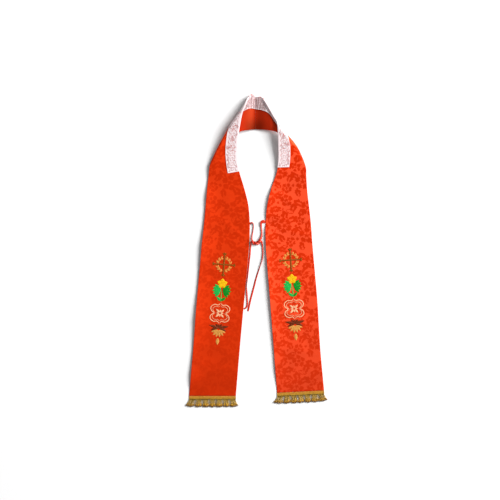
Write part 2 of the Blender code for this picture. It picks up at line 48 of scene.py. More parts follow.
CLOTH = 0.0020
EDGE_ROUND = 0.0010
FRONT_TOP = 0.0380
CLIMB_START_Y, CLIMB_END_Y = 0.1952, 0.5102
NAPE_DIP, NAPE_START_Y, NAPE_END_Y = 0.0080, 0.4492, 0.5442
CENTRE_BACK_HEIGHT = 0.0017
VALLEY_SOFTNESS, VALLEY_POWER = 0.0300, 1.8
SEAM_X, SEAM_TOP_Y, SEAM_LOW_Y = -0.0035, 0.5367, 0.4247
SEAM_GAP = 0.0003
SEAM_REACH = 0.0100
LACE_WIDTH = 0.0410
CURL_WIDTH, CURL_LIFTS = 0.0600, {"shade": 0.0085, "light": 0.0012}
CURL_START, CURL_FULL, CURL_END_Y = 0.006, 0.080, 0.2600
TIE_Y, TIE_HOLD = 0.0970, 0.0200
CREASE_BEND = 0.25
PANEL_ROWS, RISE_ROWS, CLIMB_ROWS, ROLL_ROWS, BACK_ROWS = 170, 30, 60, 30, 56
LACE_COLUMNS, BODY_COLUMNS = 12, 32
LACE_ROW = PANEL_ROWS + RISE_ROWS
ROLLED_ROW = LACE_ROW + CLIMB_ROWS + ROLL_ROWS
# Points to a curve's span, points to an edge, and those of an edge that still run up the front.
SPAN_POINTS, EDGE_POINTS, RISING = 48, 600, 455
SLOPE_STEP = 0.0005

# Edges of each strip, hem to centre back. Columns: x, y. The first part of each lies on the front layer, and
# the second, past the shoulder, on the back layer.
LEFT_NECK_EDGE = (
    (
        (-0.0718, -0.5076), (-0.0585, -0.3473), (-0.0425, -0.1723), (-0.0300, -0.0393),
        (-0.0245, 0.0377), (-0.0233, 0.0937), (-0.0277, 0.1567), (-0.0417, 0.2162),
        (-0.0595, 0.2757), (-0.0663, 0.3177), (-0.0669, 0.3597), (-0.0607, 0.4210),
        (-0.0485, 0.4832), (-0.0360, 0.5182),
    ),
    ((-0.0155, 0.5472), (-0.0035, 0.5367)),
)
LEFT_LACE_EDGE = (
    (
        (-0.1125, -0.5076), (-0.0995, -0.3473), (-0.0835, -0.1723), (-0.0710, -0.0393),
        (-0.0655, 0.0377), (-0.0643, 0.0937), (-0.0687, 0.1567), (-0.0825, 0.2162),
        (-0.0998, 0.2712), (-0.1060, 0.3142), (-0.1079, 0.3432), (-0.1055, 0.3832),
        (-0.1000, 0.4157),
    ),
    ((-0.0477, 0.4852), (-0.0232, 0.4977), (-0.0035, 0.4957)),
)
LEFT_OUTER_EDGE = (
    (
        (-0.2360, -0.5076), (-0.2220, -0.3473), (-0.2087, -0.1723), (-0.1968, -0.0393),
        (-0.1898, 0.0377), (-0.1838, 0.0937), (-0.1779, 0.1567), (-0.1730, 0.2162),
        (-0.1681, 0.2617), (-0.1650, 0.2892),
    ),
    ((-0.0599, 0.4150), (-0.0316, 0.4218), (-0.0035, 0.4247)),
)
RIGHT_NECK_EDGE = (
    (
        (0.0716, -0.4967), (0.0604, -0.3473), (0.0471, -0.1723), (0.0363, -0.0393),
        (0.0315, 0.0377), (0.0315, 0.0937), (0.0370, 0.1567), (0.0510, 0.2162),
        (0.0707, 0.2757), (0.0768, 0.3177), (0.0768, 0.3597), (0.0745, 0.4210),
        (0.0645, 0.4654), (0.0465, 0.5012),
    ),
    ((0.0165, 0.5387), (-0.0035, 0.5367)),
)
RIGHT_LACE_EDGE = (
    (
        (0.1125, -0.4946), (0.1014, -0.3473), (0.0881, -0.1723), (0.0773, -0.0393),
        (0.0725, 0.0377), (0.0725, 0.0937), (0.0780, 0.1567), (0.0920, 0.2162),
        (0.1085, 0.2672), (0.1144, 0.2925), (0.1175, 0.3212), (0.1183, 0.3492),
        (0.1165, 0.3732),
    ),
    ((0.0720, 0.4437), (0.0465, 0.4772), (0.0215, 0.4907), (-0.0035, 0.4957)),
)
RIGHT_OUTER_EDGE = (
    (
        (0.2369, -0.4884), (0.2239, -0.3473), (0.2131, -0.1723), (0.2015, -0.0393),
        (0.1949, 0.0377), (0.1910, 0.0937), (0.1840, 0.1567), (0.1774, 0.2162),
        (0.1746, 0.2617), (0.1733, 0.2897),
    ),
    ((0.0731, 0.4129), (0.0381, 0.4218), (-0.0035, 0.4247)),
)

# Outer side of each shoulder roll seen from above, outer end to neck. Columns: x, y.
LEFT_SHOULDER = (
    (-0.1620, 0.3072), (-0.1315, 0.3697), (-0.0950, 0.4332), (-0.0610, 0.4817), (-0.0225, 0.5462),
)
RIGHT_SHOULDER = (
    (0.1705, 0.3112), (0.1395, 0.3682), (0.0925, 0.4232), (0.0620, 0.4682), (0.0250, 0.5352),
)
# Each strip: radius of its roll at the outer edge and at the neck, fullness drawn up past the roll, and the
# y at which the lace ends at the neck edge, at its own edge and straight across at the outer edge.
LEFT_ROLL, LEFT_LACE_END = (0.0060, 0.0120, 1.00), (0.2777, 0.2712, 0.2612)
RIGHT_ROLL, RIGHT_LACE_END = (0.0075, 0.0130, 1.25), (0.2912, 0.2925, 0.2832)

# Soft creases. Columns: x, y, turn in degrees, half length, half width, rise. A negative rise is a trough.
LEFT_CREASES = (
    (-0.190, -0.235, 12.0, 0.070, 0.010, 0.0011), (-0.120, -0.285, -22.0, 0.055, 0.009, 0.0009),
    (-0.090, -0.130, 28.0, 0.050, 0.012, 0.0010), (-0.165, -0.085, -35.0, 0.060, 0.011, -0.0007),
    (-0.175, 0.035, 40.0, 0.065, 0.013, 0.0012), (-0.085, 0.075, -30.0, 0.045, 0.010, 0.0009),
    (-0.140, 0.170, 24.0, 0.060, 0.012, -0.0008), (-0.120, -0.420, 8.0, 0.080, 0.014, 0.0008),
    (-0.200, -0.390, -40.0, 0.040, 0.010, 0.0007), (-0.140, 0.300, 55.0, 0.050, 0.010, 0.0008),
)
RIGHT_CREASES = (
    (0.150, 0.060, -18.0, 0.060, 0.011, 0.0011), (0.095, 0.010, 30.0, 0.050, 0.010, 0.0009),
    (0.180, -0.060, 38.0, 0.055, 0.012, 0.0012), (0.110, -0.210, -26.0, 0.060, 0.011, 0.0010),
    (0.195, -0.260, 20.0, 0.050, 0.010, -0.0008), (0.150, -0.350, -12.0, 0.070, 0.012, 0.0010),
    (0.205, -0.430, 35.0, 0.040, 0.009, 0.0008), (0.100, -0.420, 48.0, 0.045, 0.011, -0.0007),
    (0.110, 0.180, -40.0, 0.050, 0.011, 0.0009), (0.150, 0.320, -60.0, 0.045, 0.010, 0.0008),
)


def smooth_step(share):
    """3 s squared less 2 s cubed, with s held between 0 and 1: level at both ends."""
    share = np.clip(share, 0.0, 1.0)
    return share * share * (3.0 - 2.0 * share)


def run_of(path, power=1.0):
    """Running sum of a polyline's steps, each to a power: its running length where the power is 1."""
    steps = np.linalg.norm(np.diff(path, axis=0), axis=1) ** power
    return np.concatenate([[0.0], np.cumsum(steps)])


def spaced(path, shares):
    """Points of a polyline at shares of its length: each coordinate interpolated on the running length."""
    run = run_of(path)
    return np.stack([np.interp(np.asarray(shares) * run[-1], run, column) for column in path.T], axis=1)


def between(k, low, high, first, last):
    """Straight run from first, where k is low, to last, where k is high."""
    return (high - k) / (high - low) * first + (k - low) / (high - low) * last


def smooth_path(points, count):
    """Centripetal Catmull-Rom curve: each span is blended from its four nearest points, with knots that grow
    by the root of the distance between them. Returns `count` points at equal steps of length."""
    points = np.asarray(points, float)
    padded = np.vstack([2.0 * points[0] - points[1], points, 2.0 * points[-1] - points[-2]])
    knots = run_of(padded, 0.5)
    spans = []
    for i in range(1, len(padded) - 2):
        p0, p1, p2, p3 = padded[i - 1 : i + 3]
        k0, k1, k2, k3 = knots[i - 1 : i + 3]
        k = np.linspace(k1, k2, SPAN_POINTS, endpoint=False)[:, None]
        a1, a2, a3 = between(k, k0, k1, p0, p1), between(k, k1, k2, p1, p2), between(k, k2, k3, p2, p3)
        b1, b2 = between(k, k0, k2, a1, a2), between(k, k1, k3, a2, a3)
        spans.append(between(k, k1, k2, b1, b2))
    return spaced(np.vstack([*spans, points[-1:]]), np.linspace(0.0, 1.0, count))


def unit(vectors):
    """Vectors divided by their own lengths."""
    return vectors / np.linalg.norm(vectors, axis=-1, keepdims=True)


def left_of(ahead):
    """Plane directions a quarter turn to the left of others."""
    return np.stack([-ahead[..., 1], ahead[..., 0]], axis=-1)


def heading(turn):
    """The plane direction at a turn in degrees, and the one to the left of it."""
    ahead = np.array([math.cos(math.radians(turn)), math.sin(math.radians(turn))])
    return ahead, left_of(ahead)


def raised(plan, height):
    """Points in space from points in the plane and their heights."""
    return np.concatenate([plan, height[..., None]], axis=-1)


class Strip:
    """A strip in its flat cut, and how it lies. inward is 1 for the left strip and -1 for the right one."""

    def __init__(self, shoulder, edges, roll, lace_end, creases, inward):
        shoulder = np.asarray(shoulder)
        self.roll_low, self.roll_high, self.fullness = roll
        self.start = shoulder[0]
        self.length = np.linalg.norm(shoulder[-1] - shoulder[0])
        self.along = (shoulder[-1] - shoulder[0]) / self.length
        self.out = inward * left_of(self.along)
        curve = smooth_path(shoulder, EDGE_POINTS) - self.start
        self.bow_u, self.bow_v = curve @ self.along, curve @ self.out
        self.inward = inward
        self.creases = creases
        self.curves = [self.edge_curve(edge) for edge in edges]
        self.lace_end = lace_end
        self.cut = self.cut_grid()

    def fold_place(self, flat):
        """Distance along the shoulder, distance past the start of the roll, and the roll's radius and start.
        The radius grows evenly along the shoulder, and the roll's outer side follows the shoulder curve."""
        rel = flat - self.start
        u = rel @ self.along
        radius = self.roll_low + (self.roll_high - self.roll_low) * np.clip(u / self.length, 0.0, 1.0)
        start = np.interp(u, self.bow_u, self.bow_v) - radius
        return u, rel @ self.out - start, radius, start

    def spot(self, u, v):
        """Places at distances u along the shoulder's chord and v out from it."""
        return self.start + u[:, None] * self.along + v[:, None] * self.out

    def turned(self, flat):
        """Share of the half turn that the cloth has made: 0 on the front, 1 where the roll ends."""
        _, past, radius, _ = self.fold_place(flat)
        return past / (math.pi * radius)

    def unfolded(self, laid, on_back):
        """Flat places of laid-out points. On the roll the distance past its start is radius times the arc
        sine of the offset; on the back it is half the roll's girth plus the offset times the fullness."""
        u, past, radius, start = self.fold_place(laid)
        on_roll = radius * np.arcsin(np.clip(past / radius, 0.0, 1.0))
        front = np.where(past > 0.0, on_roll, past)
        back = math.pi * radius - np.where(past > 0.0, on_roll, past * self.fullness)
        return self.spot(u, np.where(on_back, back, front) + start)

    def edge_curve(self, edge):
        """Smooth flat curve through the unfolded points of an edge table."""
        front, back = edge
        on_back = np.repeat([False, True], [len(front), len(back)])
        return smooth_path(self.unfolded(np.array([*front, *back]), on_back), EDGE_POINTS)

    def front_height(self, y):
        """Height of the face on the front: a smooth step up to the neck, less a smooth step at the nape."""
        climb = (FRONT_TOP - CLOTH) * smooth_step((y - CLIMB_START_Y) / (CLIMB_END_Y - CLIMB_START_Y))
        return CLOTH + climb - NAPE_DIP * smooth_step((y - NAPE_START_Y) / (NAPE_END_Y - NAPE_START_Y))

    def laid(self, flat):
        """Where flat points lie: level on the front, on a half circle over the roll, and on the back in a
        valley that sinks to the centre seam by a power of the distance, rounded at the seam."""
        u, past, radius, start = self.fold_place(flat)
        turn = past / radius
        v_back = start - (past - math.pi * radius) / self.fullness
        v = np.where(turn < math.pi, start + radius * np.sin(turn), v_back)
        v = np.where(past <= 0.0, past + start, v)
        plan, fold_start = self.spot(u, v), self.spot(u, start)
        fold_height = self.front_height(fold_start[:, 1])
        reach = (fold_start[:, 0] - SEAM_X) / self.out[0]
        share = 1.0 - (start - v_back) / reach
        softness = VALLEY_SOFTNESS / reach
        rounded = np.sqrt(np.clip(share, 0.0, 1.0) ** 2 + softness**2) - softness
        rounded /= np.sqrt(1.0 + softness**2) - softness
        valley = 1.0 - (1.0 - rounded) ** VALLEY_POWER
        z_back = CENTRE_BACK_HEIGHT + (fold_height - 2.0 * radius - CENTRE_BACK_HEIGHT) * valley
        z_roll = fold_height - radius * (1.0 - np.cos(turn))
        z = np.where(turn < math.pi, z_roll, z_back)
        z = np.where(past <= 0.0, self.front_height(plan[:, 1]), z)
        return raised(plan, z)

    def facing(self, flat):
        """Unit normals of the face: cross product of its slopes, kept square to X at the centre back."""
        ahead, aside = (self.laid(flat + step) - self.laid(flat - step) for step in np.eye(2) * SLOPE_STEP)
        normal = unit(np.cross(ahead, aside))
        normal[:, 0] *= smooth_step(np.abs(self.laid(flat)[:, 0] - SEAM_X) / SEAM_REACH)
        return unit(normal)

    def creased(self, flat):
        """Rise of the soft creases: each is a bell across its width and a smooth step off at its ends."""
        rise = np.zeros(len(flat))
        for x, y, turn, half_length, half_width, height in self.creases:
            along, across = np.array(heading(turn)) @ (flat - [x, y]).T
            bend = CREASE_BEND * half_width * np.sin(along / half_length * 2.0 + x * 40.0)
            bell = np.exp(-(((across - bend) / half_width) ** 2))
            rise += height * bell * smooth_step(1.3 - np.abs(along) / half_length)
        return rise

    def curled(self, flat):
        """Lift of the panel's two long edges, which stand a little off the floor, most on the side away from
        the lamp. It grows as the square of how near the edge is, fades out at the hem and at the neck,
        wavers slowly between, and is nothing where the tie is sewn on."""
        lift = np.zeros(len(flat))
        hem_y = self.cut[0, :, 1].mean()
        y = flat[:, 1]
        fade = smooth_step((y - hem_y - CURL_START) / CURL_FULL)
        fade = fade * smooth_step((CURL_END_Y - y) / CURL_FULL)
        untied = 1.0 - np.exp(-(((y - TIE_Y) / TIE_HOLD) ** 2))
        for curve, free in ((self.curves[0], untied), (self.curves[2], 1.0)):
            edge_x = np.interp(y, curve[:RISING, 1], curve[:RISING, 0])
            on_shade = curve[0, 0] < self.cut[0, :, 0].mean()
            near = np.clip(1.0 - np.abs(flat[:, 0] - edge_x) / CURL_WIDTH, 0.0, 1.0)
            waver = 0.78 + 0.22 * np.sin(y * 19.0 + edge_x * 90.0)
            lift += CURL_LIFTS["shade" if on_shade else "light"] * near**2 * waver * free
        return lift * fade

    def lay(self, flat, lift):
        """Flat points (any shape, 2) laid out, creased, and moved `lift` out of the damask face. Nothing
        goes below the floor."""
        shape = flat.shape[:-1]
        points = flat.reshape(-1, 2)
        rise = np.broadcast_to(lift, shape).reshape(-1) + self.creased(points) + self.curled(points)
        laid = self.laid(points) + rise[:, None] * self.facing(points)
        laid[:, 2] = np.maximum(laid[:, 2], 0.0)
        return laid.reshape(*shape, 3)

    def stations(self, edge, lace_end_y):
        """Shares of an edge's length where the rows meet it: even steps to the lace's end and on to the
        roll, even steps of turn over the roll, and even steps to the centre back."""
        shares = np.linspace(0.0, 1.0, EDGE_POINTS)
        turn = self.turned(edge)
        rise_at, lace_at = np.interp([CLIMB_START_Y, lace_end_y], edge[:RISING, 1], shares[:RISING])
        start = shares[np.argmax((shares > lace_at) & (turn > 0.0))]
        end = shares[np.argmax((shares > lace_at) & (turn > 1.0))]
        rolling = (shares >= start) & (shares <= end)
        marks, counts = (0.0, rise_at, lace_at, start), (PANEL_ROWS, RISE_ROWS, CLIMB_ROWS)
        up = [np.linspace(a, b, count, endpoint=False) for a, b, count in zip(marks, marks[1:], counts)]
        over = np.interp(np.linspace(0.0, 1.0, ROLL_ROWS, endpoint=False), turn[rolling], shares[rolling])
        return np.concatenate([*up, over, np.linspace(end, 1.0, BACK_ROWS)])

    def cut_grid(self):
        """Flat grid (rows, columns, 2): straight rows from the neck edge over the lace's edge to the outer
        edge, the last of them drawn on to the straight centre-back seam."""
        neck, lace, outer = (spaced(c, self.stations(c, y)) for c, y in zip(self.curves, self.lace_end))
        inner = np.linspace(0.0, 1.0, LACE_COLUMNS + 1)
        body = np.linspace(0.0, 1.0, BODY_COLUMNS + 1)[1:]
        near = neck[:, None] + (lace - neck)[:, None] * inner[None, :, None]
        far = lace[:, None] + (outer - lace)[:, None] * body[None, :, None]
        grid = np.concatenate([near, far], axis=1)
        lace_y = SEAM_TOP_Y - LACE_WIDTH
        seam_y = np.concatenate([SEAM_TOP_Y - LACE_WIDTH * inner, lace_y + (SEAM_LOW_Y - lace_y) * body])
        seam_x = SEAM_X - 0.5 * self.inward * SEAM_GAP
        seam = self.unfolded(np.column_stack([np.full_like(seam_y, seam_x), seam_y]), True)
        grid[-BACK_ROWS:] += (seam - grid[-1]) * np.linspace(0.0, 1.0, BACK_ROWS)[:, None, None] ** 1.5
        return grid


LEFT_EDGES = (LEFT_NECK_EDGE, LEFT_LACE_EDGE, LEFT_OUTER_EDGE)
RIGHT_EDGES = (RIGHT_NECK_EDGE, RIGHT_LACE_EDGE, RIGHT_OUTER_EDGE)
LEFT = Strip(LEFT_SHOULDER, LEFT_EDGES, LEFT_ROLL, LEFT_LACE_END, LEFT_CREASES, 1.0)
RIGHT = Strip(RIGHT_SHOULDER, RIGHT_EDGES, RIGHT_ROLL, RIGHT_LACE_END, RIGHT_CREASES, -1.0)


SHARP_TURN = 65.0


def put_in(name, data):
    """An object of its own for a mesh, a lamp or a camera, linked into the scene."""
    held = bpy.data.objects.new(name, data)
    bpy.context.scene.collection.objects.link(held)
    return held


def made_of(name, points, quads, finishes, uv, finish_of=None):
    """One smooth closed mesh at the origin from arrays of points and of quads. Quads that enclose less than
    nothing are turned over, so that they face outwards. uv gives each point's place on the cut, and
    finish_of each quad's index in finishes."""
    points, quads = points.reshape(-1, 3), quads.reshape(-1, 4)
    a, b, c, d = (points[quads[:, k]] for k in range(4))
    if np.einsum("ij,ij->", a, np.cross(b, c) + np.cross(c, d)) < 0.0:
        quads = quads[:, ::-1]
    mesh = bpy.data.meshes.new(name)
    mesh.from_pydata(points, [], quads)
    if finish_of is not None:
        mesh.polygons.foreach_set("material_index", finish_of.astype(np.int32))
    place = uv.reshape(-1, 2)[quads.ravel()]
    mesh.uv_layers.new(name="cut").data.foreach_set("uv", place.astype(np.float32).ravel())
    for finish in finishes:
        mesh.materials.append(finish)
    mesh.shade_smooth()
    mesh.set_sharp_from_angle(angle=math.radians(SHARP_TURN))
    mesh.validate()
    return put_in(name, mesh)


def tube_quads(rings, around, tubes=1):
    """Quads of a closed section of `around` points carried through `rings` rings, with a cap at each end
    that joins the section's first half to its second, point by point from both ends of the loop. More
    tubes of the same kind follow one after another."""
    index = np.arange(rings * around).reshape(rings, around)
    onward = np.roll(index, -1, axis=1)
    sides = np.stack([index[:-1], onward[:-1], onward[1:], index[1:]], axis=-1).reshape(-1, 4)
    k = np.arange(around // 2 - 1)
    cap = np.stack([k, around - 1 - k, around - 2 - k, k + 1], axis=-1)
    tube = np.concatenate([sides, cap, cap[:, ::-1] + (rings - 1) * around])
    return (tube + np.arange(tubes)[:, None, None] * rings * around).reshape(-1, 4)


EDGE_TURNS, HEM_THINNESS, TIE_ROW = (36.0, 72.0, 108.0, 144.0), 0.45, PANEL_ROWS - 40


def grain(strip, flat):
    """Places on the cut, turned so that the panel's own length runs up: a plain rotation in the plane."""
    hem_to_tie = strip.cut[TIE_ROW].mean(axis=0) - strip.cut[0].mean(axis=0)
    up = hem_to_tie / np.linalg.norm(hem_to_tie)
    return np.stack([flat @ np.array([up[1], -up[0]]), flat @ up], axis=-1)


def bagged_strip(name, strip, face, back):
    """Closed shell of a strip. Its section runs over the face, round each turned edge in a half circle, and
    along the satin back, a cloth's thickness below. The hem's own section is thinner, to round it off."""
    cut = strip.cut.copy()
    cut[:, 0] += unit(cut[:, 1] - cut[:, 0]) * EDGE_ROUND
    cut[:, -1] += unit(cut[:, -2] - cut[:, -1]) * EDGE_ROUND
    cut = np.concatenate([cut[:1], cut[:1] + unit(cut[1:2] - cut[:1]) * EDGE_ROUND, cut[1:]])
    tip = np.radians(EDGE_TURNS)
    reach, drop = EDGE_ROUND * np.sin(tip), 0.5 * CLOTH * (1.0 - np.cos(tip))
    neck = cut[:, :1] + unit(cut[:, :1] - cut[:, 1:2]) * reach[None, :, None]
    outer = cut[:, -1:] + unit(cut[:, -1:] - cut[:, -2:-1]) * reach[None, :, None]
    flat = np.concatenate([neck[:, 1::-1], cut, outer, cut[:, ::-1], neck[:, :1:-1]], axis=1)
    face_depth = np.zeros(cut.shape[1])
    depth = np.concatenate([drop[1::-1], face_depth, drop, face_depth + CLOTH, drop[:1:-1]])
    thickness = np.ones(len(flat))
    thickness[[0, -1]] = HEM_THINNESS
    lift = -0.5 * CLOTH + thickness[:, None] * (0.5 * CLOTH - depth)
    rings, around = flat.shape[:2]
    quads = tube_quads(rings, around)
    place = np.arange((rings - 1) * around) % around
    side = np.zeros(len(quads))
    side[: len(place)] = (place >= around // 2) & (place < around - 1)
    return made_of(name, strip.lay(flat, lift), quads, (face, back), grain(strip, flat), side)


def wire(tree, kind, inputs=None, **settings):
    """Adds one shader node and gives its outputs. Each input is a value for its socket, or another node's
    output to link to it."""
    added = tree.nodes.new("ShaderNode" + kind)
    for key, value in settings.items():
        setattr(added, key, value)
    for socket, value in (inputs or {}).items():
        value = value.output if isinstance(value, Amount) else value
        if isinstance(value, bpy.types.NodeSocket):
            tree.links.new(value, added.inputs[socket])
        else:
            added.inputs[socket].default_value = value
    return added.outputs


class Amount:
    """A number that varies over a surface. Arithmetic on it adds Math nodes to the surface's material."""

    def __init__(self, output):
        self.output = output
        self.tree = output.id_data

    def math(self, operation, *others, clamp=False):
        """One Math node's result, from this amount and any others in turn."""
        values = dict(enumerate((self, *others)))
        return Amount(wire(self.tree, "Math", values, operation=operation, use_clamp=clamp)[0])

    def times(self, factor, shift=0.0, clamp=False):
        """This amount times the factor, plus the shift."""
        return self.math("MULTIPLY_ADD", factor, shift, clamp=clamp)

    def ranged(self, start, end, low, high, kind="LINEAR"):
        """This amount moved from between start and end to between low and high, and held there."""
        values = {0: self, 1: start, 2: end, 3: low, 4: high}
        return Amount(wire(self.tree, "MapRange", values, interpolation_type=kind)[0])

    def __rsub__(self, other):
        return self.times(-1.0, other)

    __add__ = partialmethod(math, "ADD")
    __sub__ = partialmethod(math, "SUBTRACT")
    __mul__ = partialmethod(math, "MULTIPLY")
    __truediv__ = partialmethod(math, "DIVIDE")
    __lt__ = partialmethod(math, "LESS_THAN")
    __gt__ = partialmethod(math, "GREATER_THAN")
    __abs__ = partialmethod(math, "ABSOLUTE")
    lesser = partialmethod(math, "MINIMUM")
    greater = partialmethod(math, "MAXIMUM")


def least(*amounts):
    """The smallest of some amounts."""
    return reduce(Amount.lesser, amounts)


def most(*amounts):
    """The largest of some amounts."""
    return reduce(Amount.greater, amounts)


def distance(x, y):
    """Root of x squared plus y squared."""
    joined = wire(x.tree, "CombineXYZ", {0: x, 1: y})[0]
    return Amount(wire(x.tree, "VectorMath", {0: joined}, operation="LENGTH")["Value"])


def parts_of(tree, place):
    """The x and the y of a place."""
    parts = wire(tree, "SeparateXYZ", {0: place})
    return Amount(parts[0]), Amount(parts[1])


def on_cut(tree, layer="cut"):
    """The place on the cut that a piece's UV layer gives, and the place's two parts."""
    place = wire(tree, "UVMap", uv_map=layer)[0]
    return place, *parts_of(tree, place)


def noise(tree, place, scale, detail=1.0):
    """Noise over the cut. A scale of two numbers draws it out along one of the cut's directions."""
    if isinstance(scale, tuple):
        place = wire(tree, "Mapping", {"Vector": place, "Scale": (*scale, 1.0)})[0]
        scale = 1.0
    return Amount(wire(tree, "TexNoise", {"Vector": place, "Scale": scale, "Detail": detail})[0])


def blend(tree, share, first, second):
    """Colour mixed from first to second by share."""
    return wire(tree, "Mix", {0: share, 6: (*first, 1.0), 7: (*second, 1.0)}, data_type="RGBA")[2]


def scaled(tree, colour, shade):
    """Colour times shade."""
    return wire(tree, "VectorMath", {0: colour, "Scale": shade}, operation="SCALE")[0]


def new_finish(name, roughness, sheen=0.0, specular=0.5, gloss_tint=(1.0, 1.0, 1.0)):
    """An empty material with its fixed values on the shader's own sockets. Returns it, its tree and shader.
    Dyed threads reflect light in their own colour, which gloss_tint gives to the gloss and the sheen."""
    finish = bpy.data.materials.new(name)
    finish.use_nodes = True
    shader = finish.node_tree.nodes["Principled BSDF"]
    fixed = {"Roughness": roughness, "Specular IOR Level": specular, "Specular Tint": (*gloss_tint, 1.0)}
    fixed |= {"Sheen Weight": sheen, "Sheen Roughness": 0.4, "Sheen Tint": (*gloss_tint, 1.0)}
    for socket, value in fixed.items():
        shader.inputs[socket].default_value = value
    return finish, finish.node_tree, shader


def dye(tree, shader, colour, shade, relief, strength, depth):
    """Gives the shader a colour scaled by its shade, and the fine relief of its threads."""
    tree.links.new(scaled(tree, colour, shade), shader.inputs["Base Color"])
    bump = wire(tree, "Bump", {"Strength": strength, "Distance": depth, "Height": relief})[0]
    tree.links.new(bump, shader.inputs["Normal"])


RED_GLOSS = (1.0, 0.22, 0.05)

# The damask's repeat, and the motifs in it by kind. Columns: x, y, turn in degrees, size.
REPEAT = (0.146, 0.188)
BLOSSOMS = (
    (0.033, 0.040, 10.0, 0.0290), (0.104, 0.080, 40.0, 0.0285), (0.046, 0.136, 75.0, 0.0300),
    (0.118, 0.168, 20.0, 0.0235), (0.122, 0.022, 55.0, 0.0195), (0.014, 0.092, 30.0, 0.0170),
)
LEAVES = (
    (0.066, 0.046, 20.0, 0.0205), (0.060, 0.014, 320.0, 0.0215), (0.040, 0.076, 75.0, 0.0175),
    (0.008, 0.064, 140.0, 0.0175), (0.072, 0.090, 200.0, 0.0185), (0.134, 0.100, 20.0, 0.0205),
    (0.108, 0.116, 100.0, 0.0205), (0.080, 0.112, 140.0, 0.0160), (0.080, 0.140, 10.0, 0.0195),
    (0.066, 0.170, 60.0, 0.0205), (0.012, 0.156, 150.0, 0.0205), (0.020, 0.120, 240.0, 0.0180),
    (0.090, 0.186, 165.0, 0.0195), (0.142, 0.142, 60.0, 0.0205), (0.092, 0.036, 120.0, 0.0180),
    (0.136, 0.056, 60.0, 0.0185), (0.014, 0.004, 100.0, 0.0180),
)
OPEN_LEAVES = (
    (0.128, 0.128, 160.0, 0.0165), (0.058, 0.104, 70.0, 0.0165), (0.096, 0.004, 20.0, 0.0170),
)
CURLS = (
    (0.096, 0.142, 200.0, 0.0111), (0.030, 0.094, 120.0, 0.0097), (0.078, 0.062, 60.0, 0.0104),
)
BERRIES = (
    (0.062, 0.066, 0.0, 0.0057), (0.066, 0.122, 0.0, 0.0059), (0.144, 0.076, 0.0, 0.0054),
    (0.088, 0.162, 0.0, 0.0054), (0.000, 0.136, 0.0, 0.0057), (0.082, 0.020, 0.0, 0.0054),
    (0.000, 0.030, 0.0, 0.0057),
)


def nearest_motif(tree, place, motifs):
    """A place on the cut brought to the frame of the nearest motif in a table: wrapped into the repeat round
    each motif's centre, turned and divided by its size. Gives x, y and the distance there."""
    nearest = reach = None
    for x, y, turn, size in motifs:
        low, high = ((x + k * REPEAT[0], y + k * REPEAT[1], 2.0 * k) for k in (-0.5, 0.5))
        wrapped = wire(tree, "VectorMath", {0: place, 1: high, 2: low}, operation="WRAP")[0]
        lying = {"Location": (x, y, 0.0), "Rotation": (0.0, 0.0, math.radians(turn))}
        lying |= {"Vector": wrapped, "Scale": (size, size, 1.0)}
        own = wire(tree, "Mapping", lying, vector_type="TEXTURE")[0]
        away = Amount(wire(tree, "VectorMath", {0: own}, operation="LENGTH")["Value"])
        if nearest is None:
            nearest, reach = own, away
            continue
        nearest = wire(tree, "Mix", {0: away < reach, 4: nearest, 5: own}, data_type="VECTOR")[1]
        reach = least(reach, away)
    return *parts_of(tree, nearest), reach


def blossom(x, y, away):
    """Five round petals: the rim is at 0.68 plus 0.30 times the root of |cos 2.5a|. A narrow ring round the
    heart and the narrow gaps between the petals stay bare."""
    lobe = abs((y.math("ARCTAN2", x) * 2.5).math("COSINE"))
    rim = lobe.math("SQRT").times(0.30, 0.68)
    ring = most(abs(away - 0.32) - 0.035, lobe - 0.85)
    gap = most(lobe - 0.13, 0.36 - away)
    return least(rim - away, ring, gap).times(8.0, clamp=True)


def leaf(x, y, away):
    """A lens from x = -1 to 1, its half width 0.62 (1 - x squared), with low waves in its rim; part of the
    vein stays bare."""
    waves = (x * 9.0).math("SINE").times(0.08, 0.62)
    inside = (1.0 - x * x) * waves - abs(y)
    vein = most(abs(y) - 0.03, x - 0.1)
    return least(inside, vein).times(9.0, clamp=True)


def open_leaf(x, y, away):
    """The outline of a leaf, as wide as a stem, with a short vein inside it."""
    rim = (1.0 - x * x) * 0.56 - abs(y)
    vein = least(0.07 - abs(y), 0.45 - abs(x))
    return most(0.17 - abs(rim - 0.14), vein).times(9.0, clamp=True)


def curl(x, y, away):
    """An arc of a ring of radius 0.75, open on one side."""
    return least(0.24 - abs(away - 0.75), y + x + 0.55).times(7.0, clamp=True)


def berry(x, y, away):
    """A dot of radius 1."""
    return (1.0 - away).times(2.5, clamp=True)


def damask_figure(tree, place):
    """Mask of the woven figure: the largest of the five kinds' masks at a place on the cut, which a small
    noise has first pushed about, as the weave's steps do."""
    drift = wire(tree, "TexNoise", {"Vector": place, "Scale": 150.0, "Detail": 2.0}, noise_dimensions="2D")
    push = wire(tree, "VectorMath", {0: drift["Color"], 1: (0.5, 0.5, 0.5)}, operation="SUBTRACT")[0]
    push = wire(tree, "VectorMath", {0: push, 1: (0.011, 0.011, 0.0)}, operation="MULTIPLY")[0]
    place = wire(tree, "VectorMath", {0: place, 1: push}, operation="ADD")[0]
    kinds = ((blossom, BLOSSOMS), (leaf, LEAVES), (open_leaf, OPEN_LEAVES), (curl, CURLS), (berry, BERRIES))
    return most(*(draw(*nearest_motif(tree, place, motifs)) for draw, motifs in kinds))


HEM_SHADE, SHOULDER_SHADE = 0.87, 1.17
BLURRED_BETWEEN, DARKENED_BETWEEN, LIGHTENED_BETWEEN = (-0.45, 0.05), (-0.50, -0.28), (0.24, 0.33)
BLURRED_SHARE, THREAD_DEPTH = 0.7, 0.0002


